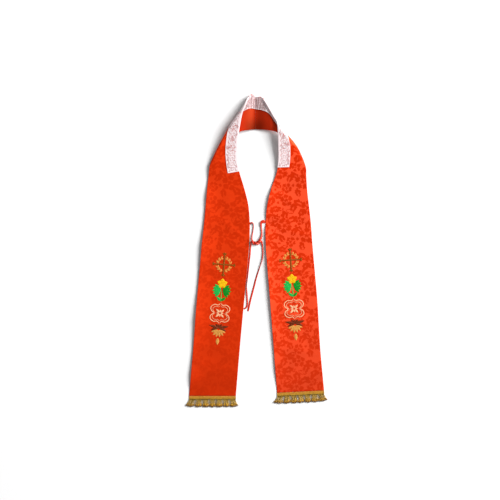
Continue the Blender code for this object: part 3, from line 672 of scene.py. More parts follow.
def damask(name, ground, figured, ground_shine, figure_shine, hem_contrast):
    """Satin ground with a duller, darker figure. Fine floats run up the cloth, crossed by the weft; their
    streaks in the colour are the weave's grain and partly a painted sheen. Towards the hem both draw in to
    BLURRED_SHARE of the way from ground to figure, until hem_contrast of the difference is left, a painted
    fading of the satin's sheen, and both darken to HEM_SHADE, painted shade. Over the shoulder they are
    lighter, at SHOULDER_SHADE, painted light."""
    finish, tree, shader = new_finish(name, 0.4, sheen=0.05, specular=0.30, gloss_tint=RED_GLOSS)
    place, _, length = on_cut(tree)
    figure = damask_figure(tree, place)
    contrast = length.ranged(*BLURRED_BETWEEN, hem_contrast, 1.0)
    share = (figure - BLURRED_SHARE).times(contrast, BLURRED_SHARE)
    floats = noise(tree, place, (2400.0, 260.0))
    shade = noise(tree, place, 16.0, 3.0).times(0.35, 0.82) * floats.times(0.24, 0.88)
    # Painted shade towards the hem and painted light over the shoulder.
    hem_painted_shade = length.ranged(*DARKENED_BETWEEN, HEM_SHADE, 1.0)
    shoulder_painted_light = length.ranged(*LIGHTENED_BETWEEN, 1.0, SHOULDER_SHADE)
    gloss = figure.times(figure_shine - ground_shine, ground_shine)
    tree.links.new(gloss.output, shader.inputs["Roughness"])
    colour = blend(tree, share, ground, figured)
    dye(tree, shader, colour, shade * (hem_painted_shade * shoulder_painted_light), floats, 0.3, THREAD_DEPTH)
    return finish


def satin(name, colour, roughness=0.42, specular=0.35, gloss_tint=RED_GLOSS):
    """Plain satin: an even colour with fine floats along the cloth, whose streaks in the colour are the
    weave's grain and partly a painted sheen, and faint cloudy wear.
    """
    finish, tree, shader = new_finish(name, roughness, 0.05, specular, gloss_tint)
    place, _, _ = on_cut(tree)
    floats = noise(tree, place, (2200.0, 300.0))
    shade = noise(tree, place, 30.0, 2.0).times(0.2, 0.9) * floats.times(0.16, 0.92)
    dye(tree, shader, colour, shade, floats, 0.25, THREAD_DEPTH)
    return finish


back_satin = satin("back satin", (0.42, 0.022, 0.007))
# One damask in two colourings: the left one darker and of lower contrast as painted shade, the right one
# lighter as painted light, as the light falls from the right.
shaded_left_damask = damask("left damask", (0.490, 0.0255, 0.0028), (0.395, 0.0150, 0.0006), 0.42, 0.56, 0.4)
lit_right_damask = damask("right damask", (0.625, 0.0515, 0.0155), (0.425, 0.0145, 0.0004), 0.38, 0.6, 0.6)

left_strip = bagged_strip("left_strip", LEFT, shaded_left_damask, back_satin)
right_strip = bagged_strip("right_strip", RIGHT, lit_right_damask, back_satin)
for piece, side in ((left_strip, "left"), (right_strip, "right")):
    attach(piece, "root")
    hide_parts("stole_" + side)
    "damask_" + side

# ---- The neck's lining ----
# Plain satin facings inside the back of the neck, one to each strip, slip-stitched along their edges and
# meeting at the centre-back seam.

FACING = 0.0008


def thin_layer(name, strip, flat, top, thickness, finish):
    """Closed layer over part of a strip: the same flat points laid at two lifts and joined round the rim."""
    columns = flat.shape[1]
    doubled = np.concatenate([flat, flat[:, ::-1]], axis=1)
    lift = np.repeat([top, top - thickness], columns)
    quads = tube_quads(*doubled.shape[:2])
    return made_of(name, strip.lay(doubled, lift), quads, (finish,), grain(strip, doubled))


HOLLOW_X, HOLLOW_Y, HOLLOW_HALF_WIDTH, HOLLOW_HALF_DEPTH = 0.0010, 0.4260, 0.0500, 0.0540
HOLLOW_SHADE, LEFT_END_SHADE, RIGHT_END_SHADE = 0.42, 1.35, 2.3


def shade_hollow(finish):
    """Darkens the satin with painted shade by its distance from the hollow at the nape, an oval in x and y,
    and lightens it with painted light towards its two ends, which turn up to the light."""
    tree = finish.node_tree
    x, y = parts_of(tree, wire(tree, "TexCoord")["Object"])
    off = distance((x - HOLLOW_X) / HOLLOW_HALF_WIDTH, (y - HOLLOW_Y) / HOLLOW_HALF_DEPTH)
    # Painted shade in the nape's hollow, and painted light at the satin's two ends.
    shade = off.ranged(0.1, 1.0, HOLLOW_SHADE, 1.0, "SMOOTHSTEP")
    ends = x.ranged(-0.055, -0.033, LEFT_END_SHADE, 1.0) * x.ranged(0.045, 0.066, 1.0, RIGHT_END_SHADE)
    colour = tree.nodes["Principled BSDF"].inputs["Base Color"]
    tree.links.new(scaled(tree, colour.links[0].from_socket, shade * ends), colour)


neck_satin = satin("neck satin", (0.29, 0.0125, 0.0024))
shade_hollow(neck_satin)
for side, strip in (("left", LEFT), ("right", RIGHT)):
    facing_cut = strip.cut[ROLLED_ROW:]
    facing = thin_layer(side + "_neck_lining", strip, facing_cut, -CLOTH - SEAM_GAP, FACING, neck_satin)
    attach(facing, "root")
    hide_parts("lining_" + side)
    "satin_" + side
    "stole_" + side

# ---- Neck lace ----
# A strip of white machine lace, folded lengthwise over the neck edge and stitched along both sides to keep
# the neck clean. It is drawn up in small pleats round the nape, where the cloth under it shows through.

LACE = 0.0008
LACE_END_BAND, LACE_SIDE_BAND = 0.0030, 0.0022
PLEAT_REACH, PLEAT_RISE = 0.1000, 0.0024
FOLD_TURNS = (30.0, 60.0, 90.0, 120.0, 150.0)
# Strength of the lace's faint glow, painted light.
LACE_PAINTED_LIGHT = 0.10
# Where the drawing passes from nape to throat, its ovals, and the net's turn for each metre and its threads.
PAST_NAPE = (0.10, 0.24)
OVAL_PITCH, OVAL_MIDDLE, OVAL_RADII, OVAL_LINE = 0.0170, 0.0210, (0.0125, 0.0055), 0.0013
NET_TURN, NET_HOLES = 4200.0, -0.12


def lace_finish(name):
    """White thread with cut-outs. The lace's own UV gives metres from the centre-back seam and from the
    fold. Contours of a slow noise, oval rings and pulled streaks at the nape are the drawing's open lines,
    and these show a fine net. Firm bands along both sides and at the end stay closed."""
    finish, tree, shader = new_finish(name, 0.85, specular=0.1)
    place, along, across = on_cut(tree)
    across = abs(across)
    contour = (noise(tree, place, 38.0) * 3.2).math("PINGPONG", 0.5)
    lines = contour < along.ranged(*PAST_NAPE, 0.16, 0.085)
    beside = (along.math("PINGPONG", OVAL_PITCH) - 0.5 * OVAL_PITCH) * 1.25
    oval = distance(beside, across - OVAL_MIDDLE)
    rings = least(*(abs(oval - radius) for radius in OVAL_RADII)) < OVAL_LINE
    nape = (along / PLEAT_REACH).times(-1.0, 1.0, clamp=True)
    pulled = noise(tree, place, (80.0, 10.0)) * nape > 0.32
    side = LACE_WIDTH - LACE_SIDE_BAND - across
    end = on_cut(tree, "from_end")[1] - LACE_END_BAND
    fold = nape.times(0.0060, across - 0.0038)
    drawn = most(lines, rings, pulled) * (least(side, end, fold) > 0.0)
    net = ((along + across) * NET_TURN).math("SINE") * ((along - across) * NET_TURN).math("SINE")
    tree.links.new((1.0 - drawn * (net > NET_HOLES)).output, shader.inputs["Alpha"])
    threads = noise(tree, place, 900.0, 2.0)
    cords = abs(contour).times(-3.0, 1.0, clamp=True)
    colour = blend(tree, threads, (0.52, 0.425, 0.435), (0.71, 0.595, 0.605))
    # The thread is darker towards the nape: painted shade of the hollow there.
    dye(tree, shader, colour, along.ranged(*PAST_NAPE, 0.86, 1.0), threads + cords, 0.6, 0.0004)
    # A faint glow of painted light, which lifts the lace's shaded side.
    shader.inputs["Emission Color"].default_value = (1.0, 0.86, 0.86, 1.0)
    shader.inputs["Emission Strength"].default_value = LACE_PAINTED_LIGHT
    return finish


def pleats(side_distance, nape_distance):
    """Rise of the nape's pleats: waves across the lace, uneven in spacing, that grow away from the fold and
    die out along the neck."""
    share = smooth_step(1.0 - nape_distance / PLEAT_REACH) * smooth_step(nape_distance / 0.004)
    wave = np.sin(nape_distance * 800.0 + 1.6 * np.sin(nape_distance * 170.0) + 60.0 * side_distance)
    return PLEAT_RISE * share * smooth_step(side_distance / 0.008) * (0.5 + 0.5 * wave)


def neck_lace(name, strip, finish):
    """Closed shell: its section runs down the damask, round the neck edge and down the lining, and back the
    same way a lace's thickness inside."""
    flat = strip.cut[LACE_ROW:, : LACE_COLUMNS + 1]
    rows, columns = flat.shape[:2]
    rolled = (np.arange(rows) + LACE_ROW - ROLLED_ROW + ROLL_ROWS) / (ROLL_ROWS - 1)
    cloth = CLOTH + smooth_step(rolled) * (SEAM_GAP + FACING)
    neck = strip.lay(flat[:, 0], 0.0)
    outwards = strip.inward * np.cross(np.gradient(neck, axis=0), strip.facing(flat[:, 0]))
    outwards[-1] = neck[-1] - strip.lay(flat[-1, 1], 0.0)
    outwards = unit(outwards)
    share = np.linspace(0.0, 1.0, columns)
    steps = np.linalg.norm(np.diff(flat[:, [0, -1]], axis=0), axis=2)
    edges = np.concatenate([[[0.0, 0.0]], np.cumsum(steps, axis=0)])
    from_end = edges[:, :1] * (1.0 - share) + edges[:, 1:] * share
    from_seam = edges[-1, 0] * (1.0 - share) + edges[-1, 1] * share - from_end
    side = np.broadcast_to(LACE_WIDTH * share, from_end.shape)
    rise = pleats(side, from_seam)
    turn = np.radians(FOLD_TURNS)
    skins = []
    for gap in (SEAM_GAP, SEAM_GAP + LACE):
        upper = strip.lay(flat[:, ::-1], gap)
        reach = 0.5 * cloth[:, None] + gap
        lift = -0.5 * cloth[:, None] + reach * np.cos(turn)
        bend = [strip.lay(flat[:, 0], up) + gap * math.sin(a) * outwards for up, a in zip(lift.T, turn)]
        lower = strip.lay(flat, -cloth[:, None] - gap - rise)
        skins.append(np.concatenate([upper, np.stack(bend, axis=1), lower], axis=1))
    skin = np.concatenate([skins[1], skins[0][:, ::-1]], axis=1)
    column = np.tile([*range(columns)[::-1], *[0] * len(turn), *range(columns)], 2)
    across = side[:, column] * np.repeat([1.0, 0.0, -1.0, -1.0, 0.0, 1.0], [columns, len(turn), columns] * 2)
    place = np.stack([from_seam[:, column], across], axis=-1)
    lace = made_of(name, skin, tube_quads(*across.shape), (finish,), place)
    corner = np.empty(len(lace.data.loops), np.int32)
    lace.data.loops.foreach_get("vertex_index", corner)
    ends = lace.data.uv_layers.new(name="from_end")
    ends.data.foreach_set("uv", np.repeat(from_end[:, column].ravel()[corner], 2).astype(np.float32))
    return lace


white_lace = lace_finish("white lace")
left_lace = neck_lace("left_lace", LEFT, white_lace)
right_lace = neck_lace("right_lace", RIGHT, white_lace)
for lace, side, rests, length, area in (
    (left_lace, "left", left_strip, 0.303, 0.0219),
    (right_lace, "right", right_strip, 0.291, 0.0181),
):
    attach(lace, "root")
    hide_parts("lace_" + side)
    "lace_white_" + side

# ---- Hem fringes ----
# Gold bullion fringe: a narrow woven braid sewn along each hem, and twisted strands that are drawn together
# in groups at the waist and open again into thick dark-tipped tufts.

HEADER_DEPTH, HEADER_HEIGHT = 0.0125, 0.0026
RIB_PITCH, RIB_RISE, CORD_RISE = 0.0031, 0.0005, 0.0004
STRAND_LENGTH, STRAND_RADIUS = 0.0285, 0.00105
STRAND_GROUPS, STRANDS_IN_GROUP = 7, 8
STRAND_RINGS = (0.0, 0.14, 0.30, 0.45, 0.60, 0.78, 0.93, 1.0)
STRAND_SIDES, STRAND_TUCK, WAIST = 6, 0.0012, 0.58


def gold_finish(name, tones, lustre, stripes):
    """Metallised thread. The UV gives metres along the piece and a share down it: tones are colours at
    shares of that, and the twist's slanting stripes darken the grooves with painted shade."""
    finish, tree, shader = new_finish(name, 0.42, sheen=0.1, gloss_tint=(1.0, 0.78, 0.45))
    shader.inputs["Metallic"].default_value = lustre
    place, along, down = on_cut(tree)
    toned = wire(tree, "ValToRGB", {0: down})[0]
    elements = toned.node.color_ramp.elements
    for element, (share, colour) in zip(elements, (tones[0], tones[-1])):
        element.position, element.color = share, (*colour, 1.0)
    for share, colour in tones[1:-1]:
        elements.new(share).color = (*colour, 1.0)
    groove = along.times(stripes[0], down * stripes[1]).math("SINE").times(0.5, 0.5)
    shade = groove.times(0.55, 0.55) * noise(tree, place, 900.0, 2.0).times(0.7, 0.65)
    shade = shade * noise(tree, place, (170.0, 2.0)).times(1.0, 0.5)
    dye(tree, shader, toned, shade, groove, 0.8, 0.0003)
    return finish


def hem_frame(strip):
    """The hem's neck end, its direction towards the outer end, the direction down from it, and its width."""
    start, end = strip.cut[0, 0], strip.cut[0, -1]
    width = np.linalg.norm(end - start)
    across = (end - start) / width
    return start, across, strip.inward * left_of(across), width


def braid(name, strip, finish):
    """Braid along a hem. Its section is a flat underside and a top with a cord along each edge; between them
    the top rises in zigzag ribs."""
    start, across, down, width = hem_frame(strip)
    x = np.linspace(0.0, width, 200)[:, None]
    t = np.linspace(0.0, 1.0, 19)[None, :]
    cords = np.exp(-(((t - 0.12) / 0.09) ** 2)) + np.exp(-(((t - 0.88) / 0.09) ** 2))
    ribs = np.abs(np.sin(math.pi * x / RIB_PITCH + 3.0 * np.abs(t - 0.5)))
    rims = np.sqrt(np.clip(1.0 - np.abs(2.0 * t - 1.0) ** 8, 0.0, 1.0))
    top = 0.0004 + (HEADER_HEIGHT - 0.0012) * rims
    top = top + CORD_RISE * cords * rims + RIB_RISE * ribs * rims * (1.0 - cords)
    low = np.full((len(x), 17), 0.0002)
    height = np.concatenate([top, low], axis=1)
    share = np.concatenate([t, t[:, -2:0:-1]], axis=1)
    y = SEAM_GAP + share * (HEADER_DEPTH - SEAM_GAP)
    points = raised(start + x[..., None] * across + y[..., None] * down, height)
    uv = np.stack(np.broadcast_arrays(x, share), axis=-1)
    return made_of(name, points, tube_quads(*height.shape), (finish,), uv)


def sideways_and_up(centre, axis):
    """Level directions to the side of a path, and directions square to both."""
    ahead = unit(np.gradient(centre, axis=axis))
    side = unit(np.cross(ahead, [0.0, 0.0, 1.0]))
    return side, np.cross(side, ahead)


def strands(name, strip, tip_spread, seed, finishes):
    """Two layers of strands in one mesh. Each is a tube with eight rings of six points. The upper ones leave
    the braid, close in on their group's middle at the waist, and open out again at the tip, where they are
    thickest; the thin ones under them hang straight."""
    start, across, down, width = hem_frame(strip)
    chance = np.random.default_rng(seed)
    count = STRAND_GROUPS * STRANDS_IN_GROUP
    pitch = width / count
    place = np.concatenate([np.arange(count) + 0.5, np.arange(count - 1) + 1.0])
    below = np.repeat([0.0, 1.0], [count, count - 1])[:, None]
    group = np.clip(np.floor(place / STRANDS_IN_GROUP), 0, STRAND_GROUPS - 1)
    group_middle = ((group + 0.5) * STRANDS_IN_GROUP * pitch)[:, None]
    middle = (place * pitch)[:, None]
    s = np.array([STRAND_RINGS])
    pinch = smooth_step(s / 0.30) * (1.0 - smooth_step((s - 0.42) / 0.50)) * (1.0 - below)
    share = middle / width * 2.0 - 1.0
    spread = np.where(share < 0.0, -tip_spread[0], tip_spread[1]) * np.abs(share) ** 3
    scallop = np.abs((place % STRANDS_IN_GROUP) / STRANDS_IN_GROUP * 2.0 - 1.0)[:, None] ** 2
    wobble = chance.normal(0.0, 1.0, (len(place), 1)) * 0.0011 * s**2
    wobble = wobble + 0.0004 * np.sin(s * chance.uniform(5.0, 11.0, (len(place), 1)) + place[:, None]) * s
    x = middle + pinch * (1.0 - WAIST) * (group_middle - middle) + spread * s**0.9 + wobble
    length = STRAND_LENGTH * (1.0 + chance.uniform(-0.08, 0.0, (len(place), 1)) - 0.10 * below)
    length = length * (1.0 - 0.16 * np.abs(share) ** 8) * (1.0 - 0.10 * scallop)
    y = HEADER_DEPTH - STRAND_TUCK + (length + STRAND_TUCK) * s
    girth = STRAND_RADIUS * (1.0 - 0.25 * pinch + 0.35 * smooth_step((s - 0.55) / 0.4))
    girth = girth * (1.0 - 0.25 * below) * np.where(s > 0.97, 0.55, 1.0)
    pile = pinch * 0.0008 * (1.0 + np.sin(place * 2.4))[:, None]
    z = 0.0003 + girth + (1.0 - below) * (pile + 0.0014 * smooth_step((s - 0.06) / 0.2))
    centre = raised(start + x[..., None] * across + y[..., None] * down, z)
    side, up = sideways_and_up(centre, 1)
    theta = -0.5 * math.pi + np.arange(STRAND_SIDES) * 2.0 * math.pi / STRAND_SIDES
    ring = np.cos(theta)[:, None] * side[:, :, None] + np.sin(theta)[:, None] * up[:, :, None]
    points = centre[:, :, None] + girth[..., None, None] * ring
    quads = tube_quads(len(STRAND_RINGS), STRAND_SIDES, len(place))
    turned = np.arange(STRAND_SIDES) * 0.0011 + np.arange(len(place))[:, None, None] * 0.0137
    uv = np.stack(np.broadcast_arrays(turned, s[..., None]), axis=-1)
    finish_of = np.repeat(below[:, 0], len(quads) // len(place))
    return made_of(name, points, quads, finishes, uv, finish_of)


BRAID_TONES = (
    (0.0, (0.43, 0.160, 0.016)), (0.35, (0.50, 0.220, 0.024)),
    (0.65, (0.44, 0.230, 0.024)), (1.0, (0.29, 0.145, 0.010)),
)
# Tones down a strand, darkest at the root as painted shadow under the braid.
STRAND_TONES = (
    (0.0, (0.10, 0.055, 0.003)), (0.12, (0.25, 0.145, 0.012)),
    (0.40, (0.52, 0.34, 0.090)), (0.64, (0.55, 0.30, 0.026)),
    (0.80, (0.36, 0.17, 0.010)), (0.92, (0.15, 0.060, 0.003)),
    (1.0, (0.05, 0.018, 0.002)),
)
# The strands underneath take a darker, greyer copy of the gold as painted shade, also darkest at the root.
SHADED_UNDER_TONES = (
    (0.0, (0.05, 0.03, 0.006)), (0.3, (0.42, 0.30, 0.15)),
    (0.7, (0.32, 0.18, 0.03)), (1.0, (0.06, 0.025, 0.002)),
)
braid_gold = gold_finish("braid gold", BRAID_TONES, 0.35, (2027.0, 5.0))
strand_golds = (
    gold_finish("strand gold", STRAND_TONES, 0.45, (951.0, 52.0)),
    gold_finish("under strand gold", SHADED_UNDER_TONES, 0.2, (951.0, 52.0)),
)
fringes = {}
for side, strip, spread, seed in (("left", LEFT, (0.009, 0.015), 5), ("right", RIGHT, (0.015, 0.012), 8)):
    hanging = strands(side + "_strands", strip, spread, seed, strand_golds)
    fringes[side] = braid(side + "_braid", strip, braid_gold), hanging
    for piece in fringes[side]:
        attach(piece, "root")
        "gold_" + side
    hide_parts("fringe_" + side)

# ---- Ribbon ties ----
# Two narrow satin ribbons, one sewn to each neck edge below the lace. They are twisted round each other once
# and a half and their tails lie loose on the floor.

# Routes before and after the twist, and the twist's own axis.
LEFT_TIE_ABOVE = (
    (-0.0225, 0.0932, 0.0024), (-0.0185, 0.0982, 0.0030), (-0.0135, 0.0988, 0.0034),
    (-0.0101, 0.0912, 0.0030), (-0.0107, 0.0772, 0.0026), (-0.0130, 0.0622, 0.0028),
    (-0.0157, 0.0482, 0.0040),
)
LEFT_TIE_BELOW = (
    (0.0189, 0.0309, 0.0045), (0.0199, 0.0232, 0.0035), (0.0216, 0.0122, 0.0025),
    (0.0227, -0.0088, 0.0024), (0.0202, -0.0323, 0.0024), (0.0125, -0.0551, 0.0024),
    (0.0045, -0.0778, 0.0024), (-0.0019, -0.0988, 0.0024), (-0.0078, -0.1233, 0.0024),
    (-0.0148, -0.1496, 0.0024), (-0.0218, -0.1758, 0.0024), (-0.0264, -0.1968, 0.0024),
    (-0.0295, -0.2115, 0.0024),
)
RIGHT_TIE_ABOVE = (
    (0.0309, 0.0997, 0.0024), (0.0260, 0.1027, 0.0034), (0.0203, 0.1022, 0.0040),
    (0.0169, 0.0962, 0.0036), (0.0167, 0.0852, 0.0030), (0.0185, 0.0727, 0.0026),
    (0.0189, 0.0592, 0.0028), (0.0173, 0.0482, 0.0040),
)
RIGHT_TIE_BELOW = (
    (-0.0197, 0.0217, 0.0038), (-0.0208, 0.0112, 0.0025), (-0.0223, -0.0088, 0.0024),
    (-0.0251, -0.0328, 0.0024), (-0.0285, -0.0638, 0.0024), (-0.0318, -0.0968, 0.0024),
    (-0.0337, -0.1233, 0.0024), (-0.0331, -0.1488, 0.0024), (-0.0317, -0.1758, 0.0024),
    (-0.0329, -0.1928, 0.0024), (-0.0375, -0.2013, 0.0024), (-0.0427, -0.2031, 0.0024),
)
TWIST_AXIS = ((-0.0175, 0.0342), (-0.0085, 0.0272), (0.0020, 0.0262), (0.0145, 0.0362))
TWIST_RADIUS, TWIST_TURNS, TWIST_HEIGHT, TWIST_STEPS = 0.0031, 1.5, 0.0056, 12
TIE_STEP, RIBBON_POINTS, RIBBON_SIDES = 0.0100, 260, 12
FLOOR_ROUTE_HEIGHT, FLOOR_CLEARANCE, LEAVING_FLOOR = 0.0024, 0.00025, (0.0026, 0.0036)

# Ribbon along each route. Columns: distance, half width, half thickness, turn in degrees.
LEFT_RIBBON = (
    (0.000, 0.0030, 0.0006, 0.0), (0.009, 0.0026, 0.0007, 35.0), (0.018, 0.0021, 0.0009, 75.0),
    (0.040, 0.0020, 0.0010, 60.0), (0.062, 0.0022, 0.0011, 40.0), (0.080, 0.0036, 0.0015, 10.0),
    (0.112, 0.0036, 0.0015, -10.0), (0.135, 0.0027, 0.0010, 15.0), (0.180, 0.0026, 0.0011, 50.0),
    (0.240, 0.0029, 0.0009, 150.0), (0.300, 0.0028, 0.0010, 190.0), (0.350, 0.0031, 0.0008, 180.0),
    (0.380, 0.0030, 0.0006, 180.0),
)
RIGHT_RIBBON = (
    (0.000, 0.0052, 0.0006, 0.0), (0.010, 0.0052, 0.0006, 0.0), (0.015, 0.0048, 0.0008, 12.0),
    (0.021, 0.0036, 0.0009, 35.0), (0.030, 0.0028, 0.0009, 28.0), (0.050, 0.0027, 0.0010, 38.0),
    (0.070, 0.0036, 0.0015, 20.0), (0.105, 0.0036, 0.0015, 0.0), (0.130, 0.0026, 0.0010, 30.0),
    (0.190, 0.0028, 0.0009, 5.0), (0.250, 0.0026, 0.0010, -30.0), (0.310, 0.0028, 0.0009, -150.0),
    (0.370, 0.0028, 0.0008, -180.0),
)


def twist_route(first_phase, backwards):
    """One ribbon's way through the twist: a helix round the axis, starting square to it."""
    axis = smooth_path(TWIST_AXIS, TWIST_STEPS + 1)
    ahead = unit(np.gradient(axis, axis=0))
    phase = first_phase + np.linspace(0.0, TWIST_TURNS * 2.0 * math.pi, TWIST_STEPS + 1)
    plan = axis + TWIST_RADIUS * np.cos(phase)[:, None] * left_of(ahead)
    route = raised(plan, TWIST_HEIGHT + TWIST_RADIUS * np.sin(phase))
    return route[::-1] if backwards else route


def tie_route(above, twist, below):
    """Points of a tie's way from the cloth's edge through the twist to its free end."""
    upper = smooth_path(np.vstack([above, twist[:1]]), 11)[:-1]
    lower_curve = np.vstack([twist[-1:], below])
    lower = smooth_path(lower_curve, int(run_of(lower_curve)[-1] / TIE_STEP) + 1)
    return np.vstack([upper, twist, lower[1:]])


def ribbon(name, route, widths, finish):
    """Flat oval section carried along the route, turning as it goes. Where the route runs along the floor,
    the section is let down until its lowest side is on it."""
    centre = smooth_path(route, RIBBON_POINTS)
    run = run_of(centre)
    marks, *columns = np.transpose(widths)
    half_width, half_thick, turn = (np.interp(run, marks, column)[:, None] for column in columns)
    turn = np.radians(turn)
    side, up = sideways_and_up(centre, 0)
    theta = np.arange(RIBBON_SIDES) * 2.0 * math.pi / RIBBON_SIDES
    over = np.sign(np.cos(theta)) * np.abs(np.cos(theta)) ** 0.8
    wide, thick = half_width * over, half_thick * np.sin(theta)
    u = np.cos(turn) * wide - np.sin(turn) * thick
    v = np.sin(turn) * wide + np.cos(turn) * thick
    down = FLOOR_ROUTE_HEIGHT + v.min(axis=1) - FLOOR_CLEARANCE
    down *= smooth_step((LEAVING_FLOOR[1] - centre[:, 2]) / (LEAVING_FLOOR[1] - LEAVING_FLOOR[0]))
    centre = centre - down[:, None] * [0.0, 0.0, 1.0]
    points = centre[:, None] + u[..., None] * side[:, None] + v[..., None] * up[:, None]
    uv = np.stack(np.broadcast_arrays(over * 0.003, run[:, None]), axis=-1)
    return made_of(name, points, tube_quads(*u.shape), (finish,), uv)


ribbon_satin = satin("ribbon satin", (0.42, 0.022, 0.010), 0.3, 0.5, (1.0, 0.40, 0.30))
for side, above, twist, below, widths in (
    ("left", LEFT_TIE_ABOVE, twist_route(0.0, False), LEFT_TIE_BELOW, LEFT_RIBBON),
    ("right", RIGHT_TIE_ABOVE, twist_route(math.pi, True), RIGHT_TIE_BELOW, RIGHT_RIBBON),
):
    route = tie_route(above, twist, below)
    tie = ribbon(side + "_tie", route, widths, ribbon_satin)
    length = float(run_of(smooth_path(route, RIBBON_POINTS))[-1])
    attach(tie, "root")
    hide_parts("tie_" + side)
    "ribbon_" + side

# ---- Embroidered columns ----
# One column of satin-stitch motifs down each panel, in eight thread colours: a budded cross in a laurel
# wreath, a yellow flower on green leaves, a pale quatrefoil, and a palmette that hangs from dark leaves.

STITCH_HEIGHT, STITCH_GAP, STITCH_BASE = 0.0007, 0.00008, 0.00002
STROKE_POINTS, MILLIMETRE = 24, 0.001
COLUMNS_PLACED = (("left", LEFT, (-0.1240, -0.1688), -4.8), ("right", RIGHT, (0.1280, -0.1531), 3.9))


def line(half_width, *points):
    """Stroke along a smooth path, of even width with rounded ends."""
    s = np.linspace(0.0, 1.0, STROKE_POINTS)
    rounded = np.sqrt(np.clip(1.0 - np.abs(2.0 * s - 1.0) ** 12, 0.004, 1.0))
    return smooth_path(points, STROKE_POINTS), half_width * rounded


def arc(half_width, x, y, radius, first, last):
    """Stroke along part of a circle, between two turns in degrees."""
    turns = np.radians(np.linspace(first, last, 7))
    return line(half_width, *zip(x + radius * np.cos(turns), y + radius * np.sin(turns)))


def leaf_shape(x, y, turn, length, half_width, bend=0.0):
    """Stroke of a leaf from its stalk end: pointed at both ends, widest past the middle, bent sideways."""
    s = np.linspace(0.0, 1.0, STROKE_POINTS)
    ahead, side = heading(turn)
    path = np.array([x, y]) + length * s[:, None] * ahead + bend * (s * s)[:, None] * side
    return path, half_width * np.sin(math.pi * s**0.85) ** 0.9 + 0.15


def both(*strokes):
    """The strokes and their mirror images in x."""
    return [*strokes, *((path * [-1.0, 1.0], widths) for path, widths in strokes)]


def fan(x, y, reach, turns, length, half_width, leans=(0.0,)):
    """Leaves set out round a point, each at `reach` from it and leaning by so many degrees."""
    spots = [(x + reach * math.cos(a), y + reach * math.sin(a)) for a in map(math.radians, turns)]
    return [leaf_shape(*spot, a + b, length, half_width) for b in leans for spot, a in zip(spots, turns)]


# Each thread's colour and its strokes, in millimetres from the column's middle, +y towards the neck.
CROSS_Y, CROSS_ARM, WREATH_RADIUS = 121.0, 36.0, 23.0
WREATH_TURNS = (-78, -54, -33, 9, 33, 57)
QUATREFOIL_Y = -50
LOBES = (
    (0, 36), (8, 28), (20, 30), (33, 20), (31, 8), (21, 0),
    (31, -8), (33, -20), (20, -30), (8, -28), (0, -36),
)
QUATREFOIL, INNER_QUATREFOIL = ([(k * x, QUATREFOIL_Y + k * y) for x, y in LOBES] for k in (1.0, 0.78))
THREADS = {
    "olive_brown": ((0.150, 0.042, 0.001), [
        line(3.0, (0, CROSS_Y + CROSS_ARM), (0, CROSS_Y - CROSS_ARM)),
        line(2.6, (-CROSS_ARM, CROSS_Y), (CROSS_ARM, CROSS_Y)),
        *fan(0, CROSS_Y, CROSS_ARM - 3, (90, 270), 10, 2.4, (0.0, 45.0, -45.0)),
        *fan(0, CROSS_Y, CROSS_ARM - 3, (0, 180), 9, 2.2, (0.0, 45.0, -45.0)),
    ]),
    "tan": ((0.52, 0.19, 0.036), both(
        arc(0.9, 0, CROSS_Y, WREATH_RADIUS, -80, -11),
        arc(0.9, 0, CROSS_Y, WREATH_RADIUS, 9, 78),
        *fan(0, CROSS_Y, WREATH_RADIUS, WREATH_TURNS, 11, 2.5, (62.0,)),
        *fan(0, CROSS_Y, WREATH_RADIUS, WREATH_TURNS, 10, 2.3, (122.0,)),
    )),
    "bright_green": ((0.010, 0.31, 0.050), [
        *fan(-3, 30, 6, (138, 161, 184, 207, 230), 24, 5.8),
        *fan(-3, 30, 1, (127, 150, 173, 196, 219), 21, 4.8),
        leaf_shape(0, -6, 148, 21, 4.6, -3.0),
        leaf_shape(0, -12, 91, 44, 1.6),
    ]),
    "deep_green": ((0.003, 0.17, 0.011), [
        *fan(3, 30, 6, (42, 19, -4, -27, -50), 24, 5.8),
        *fan(3, 30, 1, (53, 30, 7, -16, -39), 21, 4.8),
        leaf_shape(0, -6, 32, 21, 4.6, 3.0),
    ]),
    "yellow": ((0.62, 0.34, 0.002), [
        *fan(0, 54, 1.5, range(18, 378, 72), 17, 7.2),
        *fan(0, 54, 1.5, range(54, 414, 72), 10, 3.6),
        line(2.4, (-2.0, 54), (0, 54.4), (2.0, 54)),
    ]),
    "pale_pink": ((0.64, 0.33, 0.18), [
        *both(line(1.5, *QUATREFOIL)),
        *both(line(0.8, *INNER_QUATREFOIL)),
        *fan(0, QUATREFOIL_Y, 3.0, range(45, 405, 90), 17, 3.4),
        *fan(0, QUATREFOIL_Y, 3.0, range(0, 360, 90), 10, 2.2),
    ]),
    "dark_brown": ((0.085, 0.013, 0.002), [
        *both(leaf_shape(0, -100, 6, 35, 4.8, 3.0)),
        *both(leaf_shape(0, -101, -16, 29, 4.8, -2.0)),
        *both(leaf_shape(0, -98, 40, 16, 3.6)),
        leaf_shape(0, -104, 90, 16, 3.4),
    ]),
    "gold": ((0.48, 0.21, 0.042), [
        *fan(0, -108, 3.0, (-20, -48, -76, -104, -132, -160), 24, 4.2),
        *fan(0, -108, 2.0, (-34, -62, -90, -118, -146), 15, 2.6),
        leaf_shape(0, -137, -90, 24, 5.8),
    ]),
}


